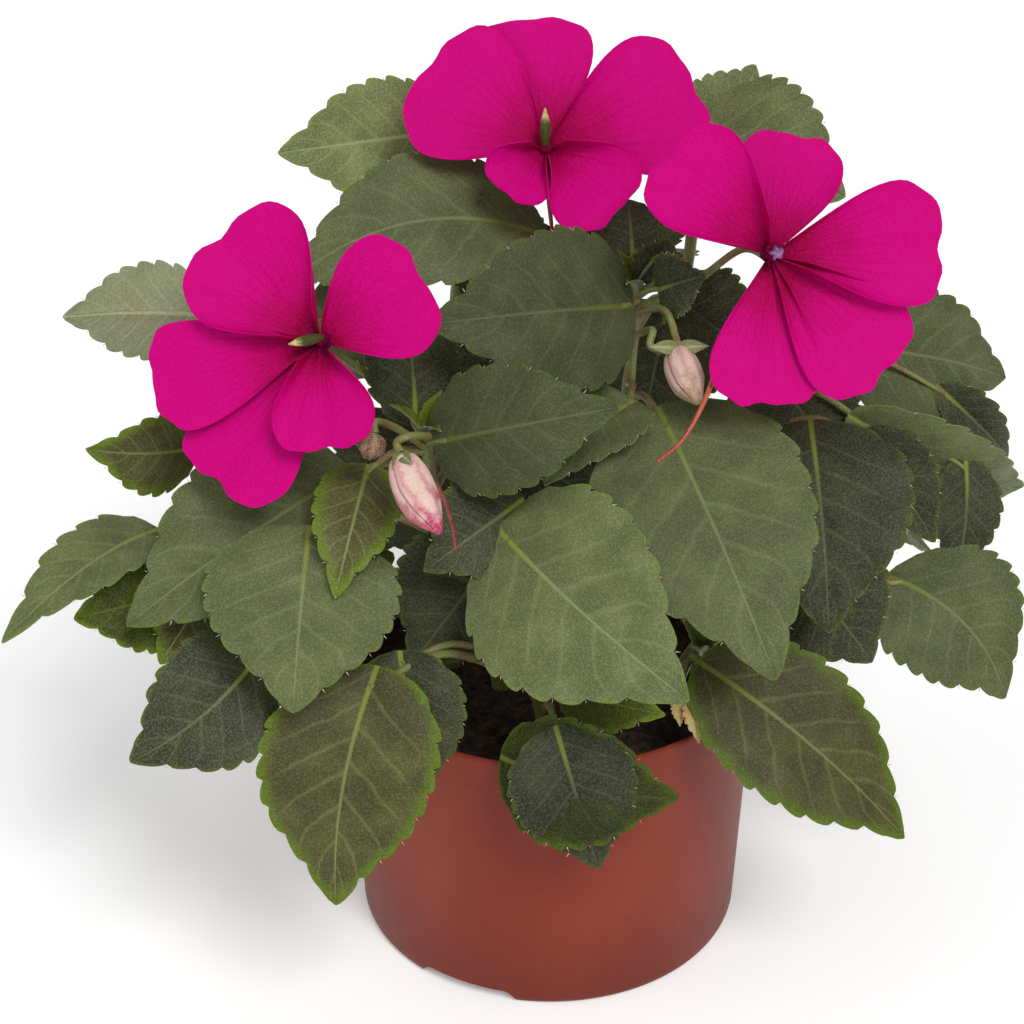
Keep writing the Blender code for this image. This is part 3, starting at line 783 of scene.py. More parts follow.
@dataclass(frozen=True)
class LeafFinish:
    """How one tone of leaf looks: its colours and how strongly its veins and margin show."""

    ground: Colour
    cloud: Colour
    vein: Colour
    # margin: the edge colour, partly the leaf's own paler edge and partly painted glow of light
    # through the thin edge.
    margin: Colour
    margin_mm: float
    vein_share: float
    rough: float
    # speckle: how much the cells between the painted glints are darkened, as painted shade.
    speckle: float = 0.14
    core: Colour = srgb(128, 140, 52)
    under_ground: Colour = srgb(168, 176, 140)
    under_flush: Colour = srgb(150, 80, 80)
    under_vein: Colour = srgb(178, 186, 140)

    def upper(self, name: str) -> bpy.types.Material:
        """The upper face, with its veins, a margin that is partly painted glow, mottling, painted
        glints, and each leaf's factor of painted light and shade.

        Args:
            name: The material's name.

        Returns:
            The material.
        """
        paint = Paint(name)
        ribs, side = vein_lines(paint)
        cloud = paint.step(paint.grain(9.0, 3.0), 0.35, 0.7)
        colour = paint.mix(cloud, self.ground, self.cloud)
        # The margin: partly the leaf's own paler edge, partly painted glow of light through the
        # thin edge.
        ragged = paint.maths("MULTIPLY_ADD", paint.grain(2.5), 2.2, paint.attribute("edge"))
        rim = paint.maths("SUBTRACT", 1.0, paint.step(ragged, 0.9, 1.2 + self.margin_mm))
        colour = paint.mix(rim, colour, self.margin)
        # Painted glints of the fine cells: where a fine noise is high the colour is lightened as a
        # painted highlight, elsewhere it is darkened by speckle as painted shade.
        glitter = paint.step(paint.grain(0.42, 1.0), 0.42, 0.66)
        dark = paint.mix(self.speckle, colour, (0.0, 0.0, 0.0, 1.0))
        pale = paint.mix(0.05, colour, (0.75, 0.85, 0.62, 1.0))
        colour = paint.mix(glitter, dark, pale)
        shown = paint.maths("MULTIPLY", ribs, self.vein_share)
        colour = paint.mix(shown, colour, self.vein)
        near = paint.maths("SUBTRACT", 1.0, paint.step(side["along"], 0.05, 0.45))
        core = paint.maths("MULTIPLY", near, side["midrib"])
        colour = paint.mix(core, colour, self.core)
        # The kept "tone" multiplies the colour: each leaf's light factor, partly painted light and
        # shade and partly its own tone, times a small random change of tone.
        tones = dict.fromkeys(range(3), paint.attribute("tone"))
        light = paint.node("ShaderNodeCombineColor", tones)
        colour = paint.mix(1.0, colour, light, "MULTIPLY")
        height = paint.maths("MULTIPLY_ADD", glitter, 0.35, paint.maths("MULTIPLY", ribs, -0.6))
        paint.relief(paint.maths("ADD", height, paint.grain(1.6, 2.0)), 0.14, 0.7)
        rough = paint.maths("MULTIPLY_ADD", glitter, -0.08, self.rough)
        return paint.finish(colour, rough, Specular_IOR_Level=0.12)

    def under(self, name: str) -> bpy.types.Material:
        """The pale underside, with raised veins.

        Args:
            name: The material's name.

        Returns:
            The material.
        """
        paint = Paint(name)
        ribs, _ = vein_lines(paint)
        pale = between(self.ground, self.under_ground, 0.45)
        flush = paint.step(paint.grain(12.0, 3.0), 0.45, 0.75)
        colour = paint.mix(flush, pale, between(pale, self.under_flush, 0.2))
        colour = paint.mix(paint.maths("MULTIPLY", ribs, 0.7), colour, self.under_vein)
        glitter = paint.step(paint.grain(0.45, 1.0), 0.4, 0.65)
        colour = paint.mix(paint.maths("MULTIPLY", glitter, 0.22), colour, (0.02, 0.03, 0.015, 1.0))
        paint.relief(paint.maths("ADD", ribs, paint.grain(0.9)), 0.2)
        return paint.finish(colour, 0.55, Specular_IOR_Level=0.35, Sheen_Weight=0.15)


def vein_lines(paint: Paint) -> tuple[Value, dict[str, Value]]:
    """The veins of a blade from its own map: the midrib and six pairs that curve to the tip.

    Args:
        paint: The material's tree.

    Returns:
        The lines' strength, and the sockets "along" and "midrib".
    """
    along, across = paint.own_map()
    signed = paint.maths("MULTIPLY_ADD", across, 2.0, -1.0)
    away = paint.maths("ABSOLUTE", signed)
    wander = paint.maths("MULTIPLY_ADD", paint.grain(6.0), 0.05, -0.025)
    back = paint.maths("MULTIPLY_ADD", away, -0.26, paint.maths("ADD", along, wander))
    other = paint.maths("MULTIPLY", paint.maths("GREATER_THAN", signed, 0.0), 0.3)
    phase = paint.maths("MULTIPLY_ADD", back, 7.0, other)
    gap = paint.maths("PINGPONG", phase, 0.5)
    thin = paint.maths("MULTIPLY_ADD", away, -0.09, 0.15)
    lines = paint.maths("SUBTRACT", 1.0, paint.step(paint.maths("DIVIDE", gap, thin), 0.0, 1.0))
    inside = paint.maths("SUBTRACT", 1.0, paint.step(away, 0.55, 0.97))
    below = paint.maths("MULTIPLY", paint.step(back, -0.08, 0.02), inside)
    lines = paint.maths("MULTIPLY", lines, below)
    width = paint.maths("MULTIPLY_ADD", along, -0.75, 0.95)
    reach = paint.maths("DIVIDE", paint.attribute("rib"), width)
    midrib = paint.maths("SUBTRACT", 1.0, paint.step(reach, 0.2, 1.0))
    both = paint.maths("MAXIMUM", midrib, paint.maths("MULTIPLY", lines, 0.42))
    return both, {"along": along, "midrib": midrib}


LEAF_FINISHES = {
    Tone.DUSKY: LeafFinish(
        srgb(88, 96, 58), srgb(104, 112, 70), srgb(146, 156, 112), srgb(98, 116, 46),
        margin_mm=1.3, vein_share=0.42, rough=0.55,
    ),
    # Painted shade: the dusky leaf colours made darker for leaves inside the tuft.
    Tone.PAINTED_SHADE: LeafFinish(
        srgb(50, 52, 34), srgb(66, 68, 42), srgb(122, 132, 84), srgb(72, 88, 20),
        margin_mm=1.6, vein_share=0.40, rough=0.5, speckle=0.10,
    ),
    Tone.EDGED: LeafFinish(
        srgb(72, 70, 36), srgb(88, 88, 46), srgb(164, 174, 104), srgb(94, 118, 18),
        margin_mm=4.2, vein_share=0.38, rough=0.5, speckle=0.10,
    ),
    Tone.BRIGHT: LeafFinish(
        srgb(52, 60, 4), srgb(74, 84, 8), srgb(122, 136, 44), srgb(96, 118, 12),
        margin_mm=2.4, vein_share=0.34, rough=0.5, speckle=0.10,
    ),
    Tone.PALE: LeafFinish(
        srgb(110, 116, 78), srgb(134, 138, 96), srgb(188, 190, 150), srgb(120, 130, 70),
        margin_mm=1.6, vein_share=0.5, rough=0.5,
    ),
    Tone.BRACT: LeafFinish(
        srgb(170, 158, 104), srgb(190, 150, 98), srgb(206, 200, 140), srgb(172, 140, 80),
        margin_mm=0.8, vein_share=0.4, rough=0.5,
    ),
}


@dataclass(frozen=True)
class StalkFinish:
    """Green stems and stalks with a red flush and fine lengthwise streaks."""

    green: Colour = srgb(112, 124, 62)
    flush: Colour = srgb(122, 60, 48)
    speck: Colour = srgb(176, 176, 130)

    def material(self, name: str, flush_share: float = 0.6) -> bpy.types.Material:
        """The stalks' material.

        Args:
            name: The material's name.
            flush_share: How much of the red flush shows.

        Returns:
            The material.
        """
        paint = Paint(name)
        blotch = paint.step(paint.grain(7.0, 3.0), 0.38, 0.66)
        colour = paint.mix(paint.maths("MULTIPLY", blotch, flush_share), self.green, self.flush)
        colour = paint.mix(paint.dots(0.5, 0.45, 0.65, 0.25), colour, self.speck)
        paint.relief(paint.grain(0.6, 3.0), 0.12)
        return paint.finish(colour, 0.42, Specular_IOR_Level=0.45)


@dataclass(frozen=True)
class SpurFinish:
    """A nectar spur that runs from orange at the bloom to red at its tip."""

    root: Colour = srgb(186, 108, 66)
    tip: Colour = srgb(150, 30, 28)
    speck: Colour = srgb(210, 140, 110)

    def material(self, name: str) -> bpy.types.Material:
        """The spurs' material, coloured along the tube's own "along" attribute.

        Args:
            name: The material's name.

        Returns:
            The material.
        """
        paint = Paint(name)
        share = paint.step(paint.attribute("along"), 0.25, 0.95)
        colour = paint.mix(share, self.root, self.tip)
        colour = paint.mix(paint.dots(0.5, 0.4, 0.7, 0.25), colour, self.speck)
        paint.relief(paint.grain(0.7), 0.08)
        return paint.finish(colour, 0.38, Specular_IOR_Level=0.5)


@dataclass(frozen=True)
class PetalFinish:
    """Magenta petals that deepen to crimson at the heart, with fine veins and a satin glitter of
    painted glints.
    """

    outer: Colour = srgb(188, 0, 112)
    inner: Colour = srgb(150, 0, 56)
    heart: Colour = srgb(72, 2, 26)
    vein: Colour = srgb(158, 0, 84)
    # glint: the colour of the painted highlights on the fine cells.
    glint: Colour = srgb(238, 24, 150)
    veins: float = 13.0

    def material(self, name: str) -> bpy.types.Material:
        """The petals' material.

        Args:
            name: The material's name.

        Returns:
            The material.
        """
        paint = Paint(name)
        along, across = paint.own_map()
        drift = paint.maths("MULTIPLY_ADD", paint.grain(9.0, 3.0), 0.35, -0.17)
        reach = paint.maths("ADD", along, drift)
        colour = paint.mix(paint.step(reach, 0.10, 0.62), self.inner, self.outer)
        colour = paint.mix(paint.step(reach, 0.20, -0.02), colour, self.heart)
        fan = paint.maths("MULTIPLY", across, self.veins)
        wander = paint.maths("MULTIPLY_ADD", paint.grain(7.0), 0.9, fan)
        gap = paint.maths("PINGPONG", wander, 0.5)
        lines = paint.maths("SUBTRACT", 1.0, paint.step(gap, 0.02, 0.2))
        lines = paint.maths("MULTIPLY", lines, paint.step(along, 0.98, 0.45))
        colour = paint.mix(paint.maths("MULTIPLY", lines, 0.28), colour, self.vein)
        # Painted glints: the glint colour where a fine noise is high, painted highlights of the
        # cells.
        glitter = paint.step(paint.grain(0.45, 1.0), 0.4, 0.68)
        colour = paint.mix(paint.maths("MULTIPLY", glitter, 0.16), colour, self.glint)
        height = paint.maths("MULTIPLY_ADD", lines, -0.4, paint.maths("MULTIPLY", glitter, 0.35))
        paint.relief(paint.maths("ADD", height, paint.grain(3.0)), 0.14)
        return paint.finish(colour, 0.6, Specular_IOR_Level=0.05)


@dataclass(frozen=True)
class BudFinish:
    """A bud's skin: a ground with streaks along its folds and a different base."""

    ground: Colour
    streak: Colour
    base: Colour
    tip: Colour
    streaks: float
    share: float = 0.5
    rough: float = 0.45
    flank: float = 0.0
    speck: Colour = srgb(255, 236, 230)

    def material(self, name: str) -> bpy.types.Material:
        """The bud's material, streaked along its own map.

        Args:
            name: The material's name.

        Returns:
            The material.
        """
        paint = Paint(name)
        along, around_it = paint.own_map()
        fan = paint.maths("MULTIPLY", around_it, self.streaks)
        warp = paint.maths("MULTIPLY_ADD", paint.grain(2.4, 3.0), 0.9, fan)
        gap = paint.maths("PINGPONG", paint.maths("MULTIPLY_ADD", along, 0.8, warp), 0.5)
        lines = paint.maths("MULTIPLY", paint.step(gap, 0.14, 0.46), self.share)
        colour = paint.mix(lines, self.ground, self.streak)
        turn = paint.maths("PINGPONG", paint.maths("ADD", around_it, self.flank), 0.5)
        side = paint.maths("MULTIPLY", paint.step(turn, 0.2, 0.4), 0.7)
        colour = paint.mix(side, colour, self.streak)
        blush = paint.step(paint.maths("ADD", along, paint.grain(3.0)), 1.05, 1.45)
        colour = paint.mix(blush, colour, self.tip)
        colour = paint.mix(paint.step(along, 0.22, 0.02), colour, self.base)
        colour = paint.mix(paint.dots(0.4, 0.4, 0.7, 0.18), colour, self.speck)
        paint.relief(paint.maths("ADD", lines, paint.grain(0.8, 3.0)), 0.14)
        return paint.finish(colour, self.rough, Specular_IOR_Level=0.4)


BUD_FINISHES = {
    "pink": BudFinish(
        srgb(214, 184, 168), srgb(186, 58, 108), srgb(168, 172, 100), srgb(170, 20, 88),
        streaks=6.0, flank=0.2,
    ),
    "pale": BudFinish(
        srgb(206, 176, 158), srgb(164, 92, 100), srgb(140, 138, 72), srgb(150, 120, 84),
        streaks=9.0,
    ),
    "dry": BudFinish(
        srgb(150, 116, 70), srgb(84, 50, 30), srgb(146, 146, 66), srgb(92, 62, 36),
        streaks=8.0, share=0.8, rough=0.7,
    ),
}


@dataclass(frozen=True)
class CapsuleFinish:
    """A seed capsule, green with a pale beak, or ringed by purple and white anthers."""

    body: Colour
    beak: Colour
    blotch: Colour = srgb(60, 30, 30)

    def material(self, name: str) -> bpy.types.Material:
        """The capsule's material, along its own map.

        Args:
            name: The material's name.

        Returns:
            The material.
        """
        paint = Paint(name)
        along, _ = paint.own_map()
        colour = paint.mix(paint.step(along, 0.62, 0.86), self.body, self.beak)
        colour = paint.mix(paint.dots(0.9, 0.4, 0.65, 0.45), colour, self.blotch)
        paint.relief(paint.grain(0.5), 0.1)
        return paint.finish(colour, 0.4, Specular_IOR_Level=0.45)


@dataclass(frozen=True)
class ClayFinish:
    """The pot's satin terracotta-coloured plastic, with flow clouds, specks and faint scratches."""

    ground: Colour = srgb(120, 40, 24)
    cloud: Colour = srgb(128, 47, 30)
    foot: Colour = srgb(98, 32, 20)
    speck: Colour = srgb(70, 26, 20)
    scratch: Colour = srgb(190, 110, 90)

    def material(self, name: str) -> bpy.types.Material:
        """The pot's material.

        Args:
            name: The material's name.

        Returns:
            The material.
        """
        paint = Paint(name)
        flat = paint.node("ShaderNodeMapping", {"Vector": paint.place(), "Scale": (1, 1, 0.5)})
        cloud = paint.step(paint.grain(26.0, 4.0, flat), 0.35, 0.68)
        colour = paint.mix(cloud, self.ground, self.cloud)
        height = paint.tree.nodes.new("ShaderNodeSeparateXYZ")
        paint.put(paint.place(), height.inputs[0])
        low = paint.step(height.outputs[2], 0.034, 0.0)
        colour = paint.mix(paint.maths("MULTIPLY", low, 0.7), colour, self.foot)
        colour = paint.mix(paint.dots(0.8, 0.235, 0.20, 0.25, 0.0), colour, self.speck)
        drawn = paint.node("ShaderNodeMapping", {"Vector": paint.place(), "Scale": (1, 1, 14)})
        rings = paint.grain(6.0, 4.0, drawn)
        colour = paint.mix(paint.maths("MULTIPLY", rings, 0.06), colour, self.scratch)
        rough = paint.maths("MULTIPLY_ADD", paint.grain(5.0, 4.0), 0.16, 0.38)
        skin = paint.maths("MULTIPLY_ADD", rings, 0.5, paint.grain(0.7, 2.0))
        paint.relief(skin, 0.035, 0.7)
        return paint.finish(colour, rough, Specular_IOR_Level=0.22)


@dataclass(frozen=True)
class PeatFinish:
    """Damp dark peat with lighter fibres."""

    dark: Colour = srgb(28, 19, 15)
    light: Colour = srgb(66, 46, 34)
    fibre: Colour = srgb(110, 82, 58)

    def material(self, name: str) -> bpy.types.Material:
        """The peat's material, for its surface and its crumbs.

        Args:
            name: The material's name.

        Returns:
            The material.
        """
        paint = Paint(name)
        clod = paint.step(paint.grain(2.2, 5.0), 0.4, 0.7)
        colour = paint.mix(clod, self.dark, self.light)
        colour = paint.mix(paint.dots(0.7, 0.62, 0.75, 0.5), colour, self.fibre)
        paint.relief(paint.grain(1.0, 5.0), 0.8)
        return paint.finish(colour, 0.85, Specular_IOR_Level=0.3)


class Sheets:
    """A mesh under construction from thin blades, with a map, face finishes and kept numbers."""

    def __init__(self) -> None:
        """Start with nothing in the mesh."""
        self.points: list[np.ndarray] = []
        self.maps: list[np.ndarray] = []
        self.kept: dict[str, list[np.ndarray]] = {"rib": [], "edge": [], "tone": []}
        self.faces: list[np.ndarray] = []
        self.finishes: list[np.ndarray] = []
        self.count = 0

    def blade(self, middle: np.ndarray, out: np.ndarray, thick: np.ndarray, sag: np.ndarray,
              own_map: np.ndarray, kept: dict[str, np.ndarray], finishes: tuple[int, int]) -> None:
        """Add a closed thin blade around a grid of points.

        Args:
            middle: The middle surface, rows along the blade and columns across it.
            out: A direction on the side of the upper face.
            thick: Half the thickness at each point.
            sag: How far the lower face hangs below that at each point.
            own_map: The blade's own map, two numbers for each point.
            kept: The numbers that each point keeps.
            finishes: The finish of the upper face and of the lower one.
        """
        rows, columns = middle.shape[:2]
        normal = unit(np.cross(np.gradient(middle, axis=1), np.gradient(middle, axis=0)))
        turned_round = float((normal @ out).sum()) < 0
        if turned_round:
            normal = -normal
        upper = middle + normal * thick[..., None]
        lower = middle - normal * (thick + sag)[..., None]
        index = np.arange(rows * columns).reshape(rows, columns)
        corners = [index[:-1, :-1], index[:-1, 1:], index[1:, 1:], index[1:, :-1]]
        top = np.stack(corners, -1).reshape(-1, 4)
        size = rows * columns
        loop = np.concatenate([index[0, :-1], index[:-1, -1], index[-1, :0:-1], index[:0:-1, 0]])
        ahead = np.roll(loop, -1)
        rim = np.stack([ahead, loop, loop + size, ahead + size], -1)
        faces = np.vstack([top, top[:, ::-1] + size, rim])
        if not turned_round:
            faces = faces[:, ::-1]
        slots = np.repeat([finishes[0], finishes[1], finishes[1]], [len(top), len(top), len(rim)])
        self.points += [upper.reshape(-1, 3), lower.reshape(-1, 3)]
        self.maps += [own_map.reshape(-1, 2)] * 2
        for key, rows_kept in self.kept.items():
            rows_kept += [np.broadcast_to(kept.get(key, 0.0), (rows, columns)).reshape(-1)] * 2
        self.faces.append(faces + self.count)
        self.finishes.append(slots)
        self.count += 2 * size

    def finish(self, name: str, materials: Sequence[bpy.types.Material]) -> bpy.types.Object:
        """Make the mesh object.

        Args:
            name: The piece's name.
            materials: Its materials, in the order of the faces' finishes.

        Returns:
            The object, in the scene.
        """
        points = np.vstack(self.points)
        faces = np.vstack(self.faces)
        mesh = bpy.data.meshes.new(name)
        mesh.from_pydata(points.tolist(), [], faces.tolist())
        for material in materials:
            mesh.materials.append(material)
        mesh.polygons.foreach_set("material_index", np.concatenate(self.finishes).astype(np.int32))
        layer = mesh.uv_layers.new(name="blade")
        corners = np.vstack(self.maps)[faces.reshape(-1)]
        layer.data.foreach_set("uv", corners.astype(np.float32).reshape(-1))
        for key, rows in self.kept.items():
            made = mesh.attributes.new(key, "FLOAT", "POINT")
            made.data.foreach_set("value", np.concatenate(rows).astype(np.float32))
        mesh.shade_smooth()
        mesh.set_sharp_from_angle(angle=math.radians(62))
        return add_piece(name, mesh)


def add_piece(name: str, mesh: bpy.types.Mesh) -> bpy.types.Object:
    """Add a mesh to the scene, at the origin.

    Args:
        name: The piece's name.
        mesh: Its mesh.

    Returns:
        The object.
    """
    piece = bpy.data.objects.new(name, mesh)
    bpy.context.scene.collection.objects.link(piece)
    return piece


def settle(piece: bpy.types.Object, slot: str, *nodes: str) -> None:
    """Bind a finished piece to the frame and report it.

    Args:
        piece: The piece.
        slot: The name of a material slot; not used.
        *nodes: The CAD nodes that it stands for.
    """
    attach(piece, BODY)
    if nodes:
        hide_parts(*nodes)
    LOG.info("%s: %d faces", piece.name, len(piece.data.polygons))


class Recipe(Tree):
    """A Geometry Nodes tree with named inputs, baked into plain meshes."""

    def __init__(self, name: str, sizes: dict[str, float]) -> None:
        """Start a tree.

        Args:
            name: The tree's name.
            sizes: Its number inputs with their default values.
        """
        super().__init__(bpy.data.node_groups.new(name, "GeometryNodeTree"))
        face = self.tree.interface
        face.new_socket("Geometry", in_out="INPUT", socket_type="NodeSocketGeometry")
        face.new_socket("Geometry", in_out="OUTPUT", socket_type="NodeSocketGeometry")
        for key, value in sizes.items():
            kind = "NodeSocketInt" if isinstance(value, int) else "NodeSocketFloat"
            face.new_socket(key, in_out="INPUT", socket_type=kind).default_value = value
        face.new_socket("Material", in_out="INPUT", socket_type="NodeSocketMaterial")
        self.given = self.tree.nodes.new("NodeGroupInput").outputs

    def close(self, geometry: Value) -> None:
        """End the tree in Realize Instances and Set Material.

        Args:
            geometry: What the tree has made.
        """
        real = self.node("GeometryNodeRealizeInstances", {"Geometry": geometry})
        inputs = {"Geometry": real, "Material": self.given["Material"]}
        dressed = self.node("GeometryNodeSetMaterial", inputs)
        last = self.tree.nodes.new("NodeGroupOutput")
        self.tree.links.new(dressed, last.inputs[0])

    def random(self, low: float, high: float) -> Value:
        """A random number from low to high for each point, by the input Seed."""
        inputs = {2: low, 3: high, "Seed": self.given["Seed"]}
        return self.node("FunctionNodeRandomValue", inputs, 1, data_type="FLOAT")

    def strew(self, points: Value, lump: Value, turn: Value, size: Value) -> None:
        """End the tree in copies of a lump on points, each turned and sized."""
        inputs = {"Points": points, "Instance": lump, "Rotation": turn, "Scale": size}
        self.close(self.node("GeometryNodeInstanceOnPoints", inputs))

    def bake(self, name: str, seed_mesh: bpy.types.Mesh, material: bpy.types.Material,
             **sizes: float) -> bpy.types.Object:
        """Run the tree on a mesh and keep the result as a plain mesh.

        Args:
            name: The piece's name.
            seed_mesh: The mesh that the tree works on.
            material: The finish of the result.
            **sizes: Values of the number inputs, with underscores for spaces.

        Returns:
            The piece, in the scene.
        """
        piece = add_piece(name, seed_mesh)
        modifier = piece.modifiers.new("recipe", "NODES")
        modifier.node_group = self.tree
        values = {key.replace("_", " "): value for key, value in sizes.items()}
        values["Material"] = material
        for item in self.tree.interface.items_tree:
            if item.in_out == "INPUT" and item.name in values:
                modifier[item.identifier] = values[item.name]
        bpy.context.view_layer.update()
        graph = bpy.context.evaluated_depsgraph_get()
        mesh = bpy.data.meshes.new_from_object(piece.evaluated_get(graph))
        piece.modifiers.clear()
        piece.data = mesh
        bpy.data.meshes.remove(seed_mesh)
        return piece


def tube_recipe() -> Recipe:
    """Round tubes along the polylines of a mesh, as thick as each point's "radius" says.

    Returns:
        The recipe, with the input Sides.
    """
    recipe = Recipe("tubes", {"Sides": 10})
    radius = recipe.node("GeometryNodeInputNamedAttribute", {"Name": "radius"}, data_type="FLOAT")
    curve = recipe.node("GeometryNodeMeshToCurve", {"Mesh": recipe.given["Geometry"]})
    ring = recipe.node(
        "GeometryNodeCurvePrimitiveCircle", {"Resolution": recipe.given["Sides"], "Radius": 1.0}
    )
    inputs = {"Curve": curve, "Profile Curve": ring, "Scale": radius, "Fill Caps": True}
    tube = recipe.node("GeometryNodeCurveToMesh", inputs)
    recipe.close(recipe.node("GeometryNodeSetShadeSmooth", {"Geometry": tube}))
    return recipe


def bristle_recipe() -> Recipe:
    """A fine pointed bristle on every point, along the point's "way".

    Returns:
        The recipe, with the inputs Length, Radius and Seed.
    """
    recipe = Recipe("bristles", {"Length": 0.0009, "Radius": 0.00011, "Seed": SEED})
    way = recipe.node("GeometryNodeInputNamedAttribute", {"Name": "way"}, data_type="FLOAT_VECTOR")
    turn = recipe.node("FunctionNodeAlignRotationToVector", {"Vector": way}, axis="Z")
    cone = recipe.node(
        "GeometryNodeMeshCone",
        {
            "Vertices": 5,
            "Radius Top": 0.00002,
            "Radius Bottom": recipe.given["Radius"],
            "Depth": recipe.given["Length"],
        },
    )
    points = recipe.node("GeometryNodeMeshToPoints", {"Mesh": recipe.given["Geometry"]})
    recipe.strew(points, cone, turn, recipe.random(0.7, 1.25))
    return recipe


def crumb_recipe() -> Recipe:
    """Peat crumbs strewn over a surface, each a small rough lump turned at random.

    Returns:
        The recipe, with the inputs Density, Size and Seed.
    """
    recipe = Recipe("crumbs", {"Density": 60000.0, "Size": 0.0011, "Seed": SEED})
    lump = recipe.node(
        "GeometryNodeMeshIcoSphere", {"Radius": recipe.given["Size"], "Subdivisions": 1}
    )
    noise = recipe.node("ShaderNodeTexNoise", {"Scale": 900.0}, "Color")
    middle = {0: noise, 1: (0.5, 0.5, 0.5)}
    shift = recipe.node("ShaderNodeVectorMath", middle, operation="SUBTRACT")
    shift = recipe.node("ShaderNodeVectorMath", {0: shift, "Scale": 0.0012}, operation="SCALE")
    lump = recipe.node("GeometryNodeSetPosition", {"Geometry": lump, "Offset": shift})
    scatter = {
        "Mesh": recipe.given["Geometry"],
        "Density": recipe.given["Density"],
        "Seed": recipe.given["Seed"],
    }
    points = recipe.node("GeometryNodeDistributePointsOnFaces", scatter)
    turn = recipe.node(
        "FunctionNodeRandomValue",
        {0: (0.0, 0.0, 0.0), 1: (6.28, 6.28, 6.28), "Seed": recipe.given["Seed"]},
        data_type="FLOAT_VECTOR",
    )
    recipe.strew(points, lump, turn, recipe.random(0.35, 1.2))
    return recipe


class Lines:
    """Polylines with a radius at each point, for the tubes."""

    def __init__(self) -> None:
        """Start with no line."""
        self.points: list[np.ndarray] = []
        self.radii: list[np.ndarray] = []
        self.along: list[np.ndarray] = []
        self.edges: list[tuple[int, int]] = []
        self.count = 0

    def add(self, points: np.ndarray, radii: np.ndarray) -> None:
        """Add one polyline.

        Args:
            points: Its points.
            radii: The tube's radius at each.
        """
        self.edges += [(self.count + i, self.count + i + 1) for i in range(len(points) - 1)]
        self.points.append(points)
        self.radii.append(radii)
        self.along.append(np.linspace(0, 1, len(points)))
        self.count += len(points)

    def mesh(self, name: str) -> bpy.types.Mesh:
        """The polylines as a mesh of edges.

        Args:
            name: The mesh's name.

        Returns:
            The mesh.
        """
        made = bpy.data.meshes.new(name)
        made.from_pydata(np.vstack(self.points).tolist(), self.edges, [])
        for key, rows in (("radius", self.radii), ("along", self.along)):
            kept = made.attributes.new(key, "FLOAT", "POINT")
            kept.data.foreach_set("value", np.concatenate(rows).astype(np.float32))
        return made


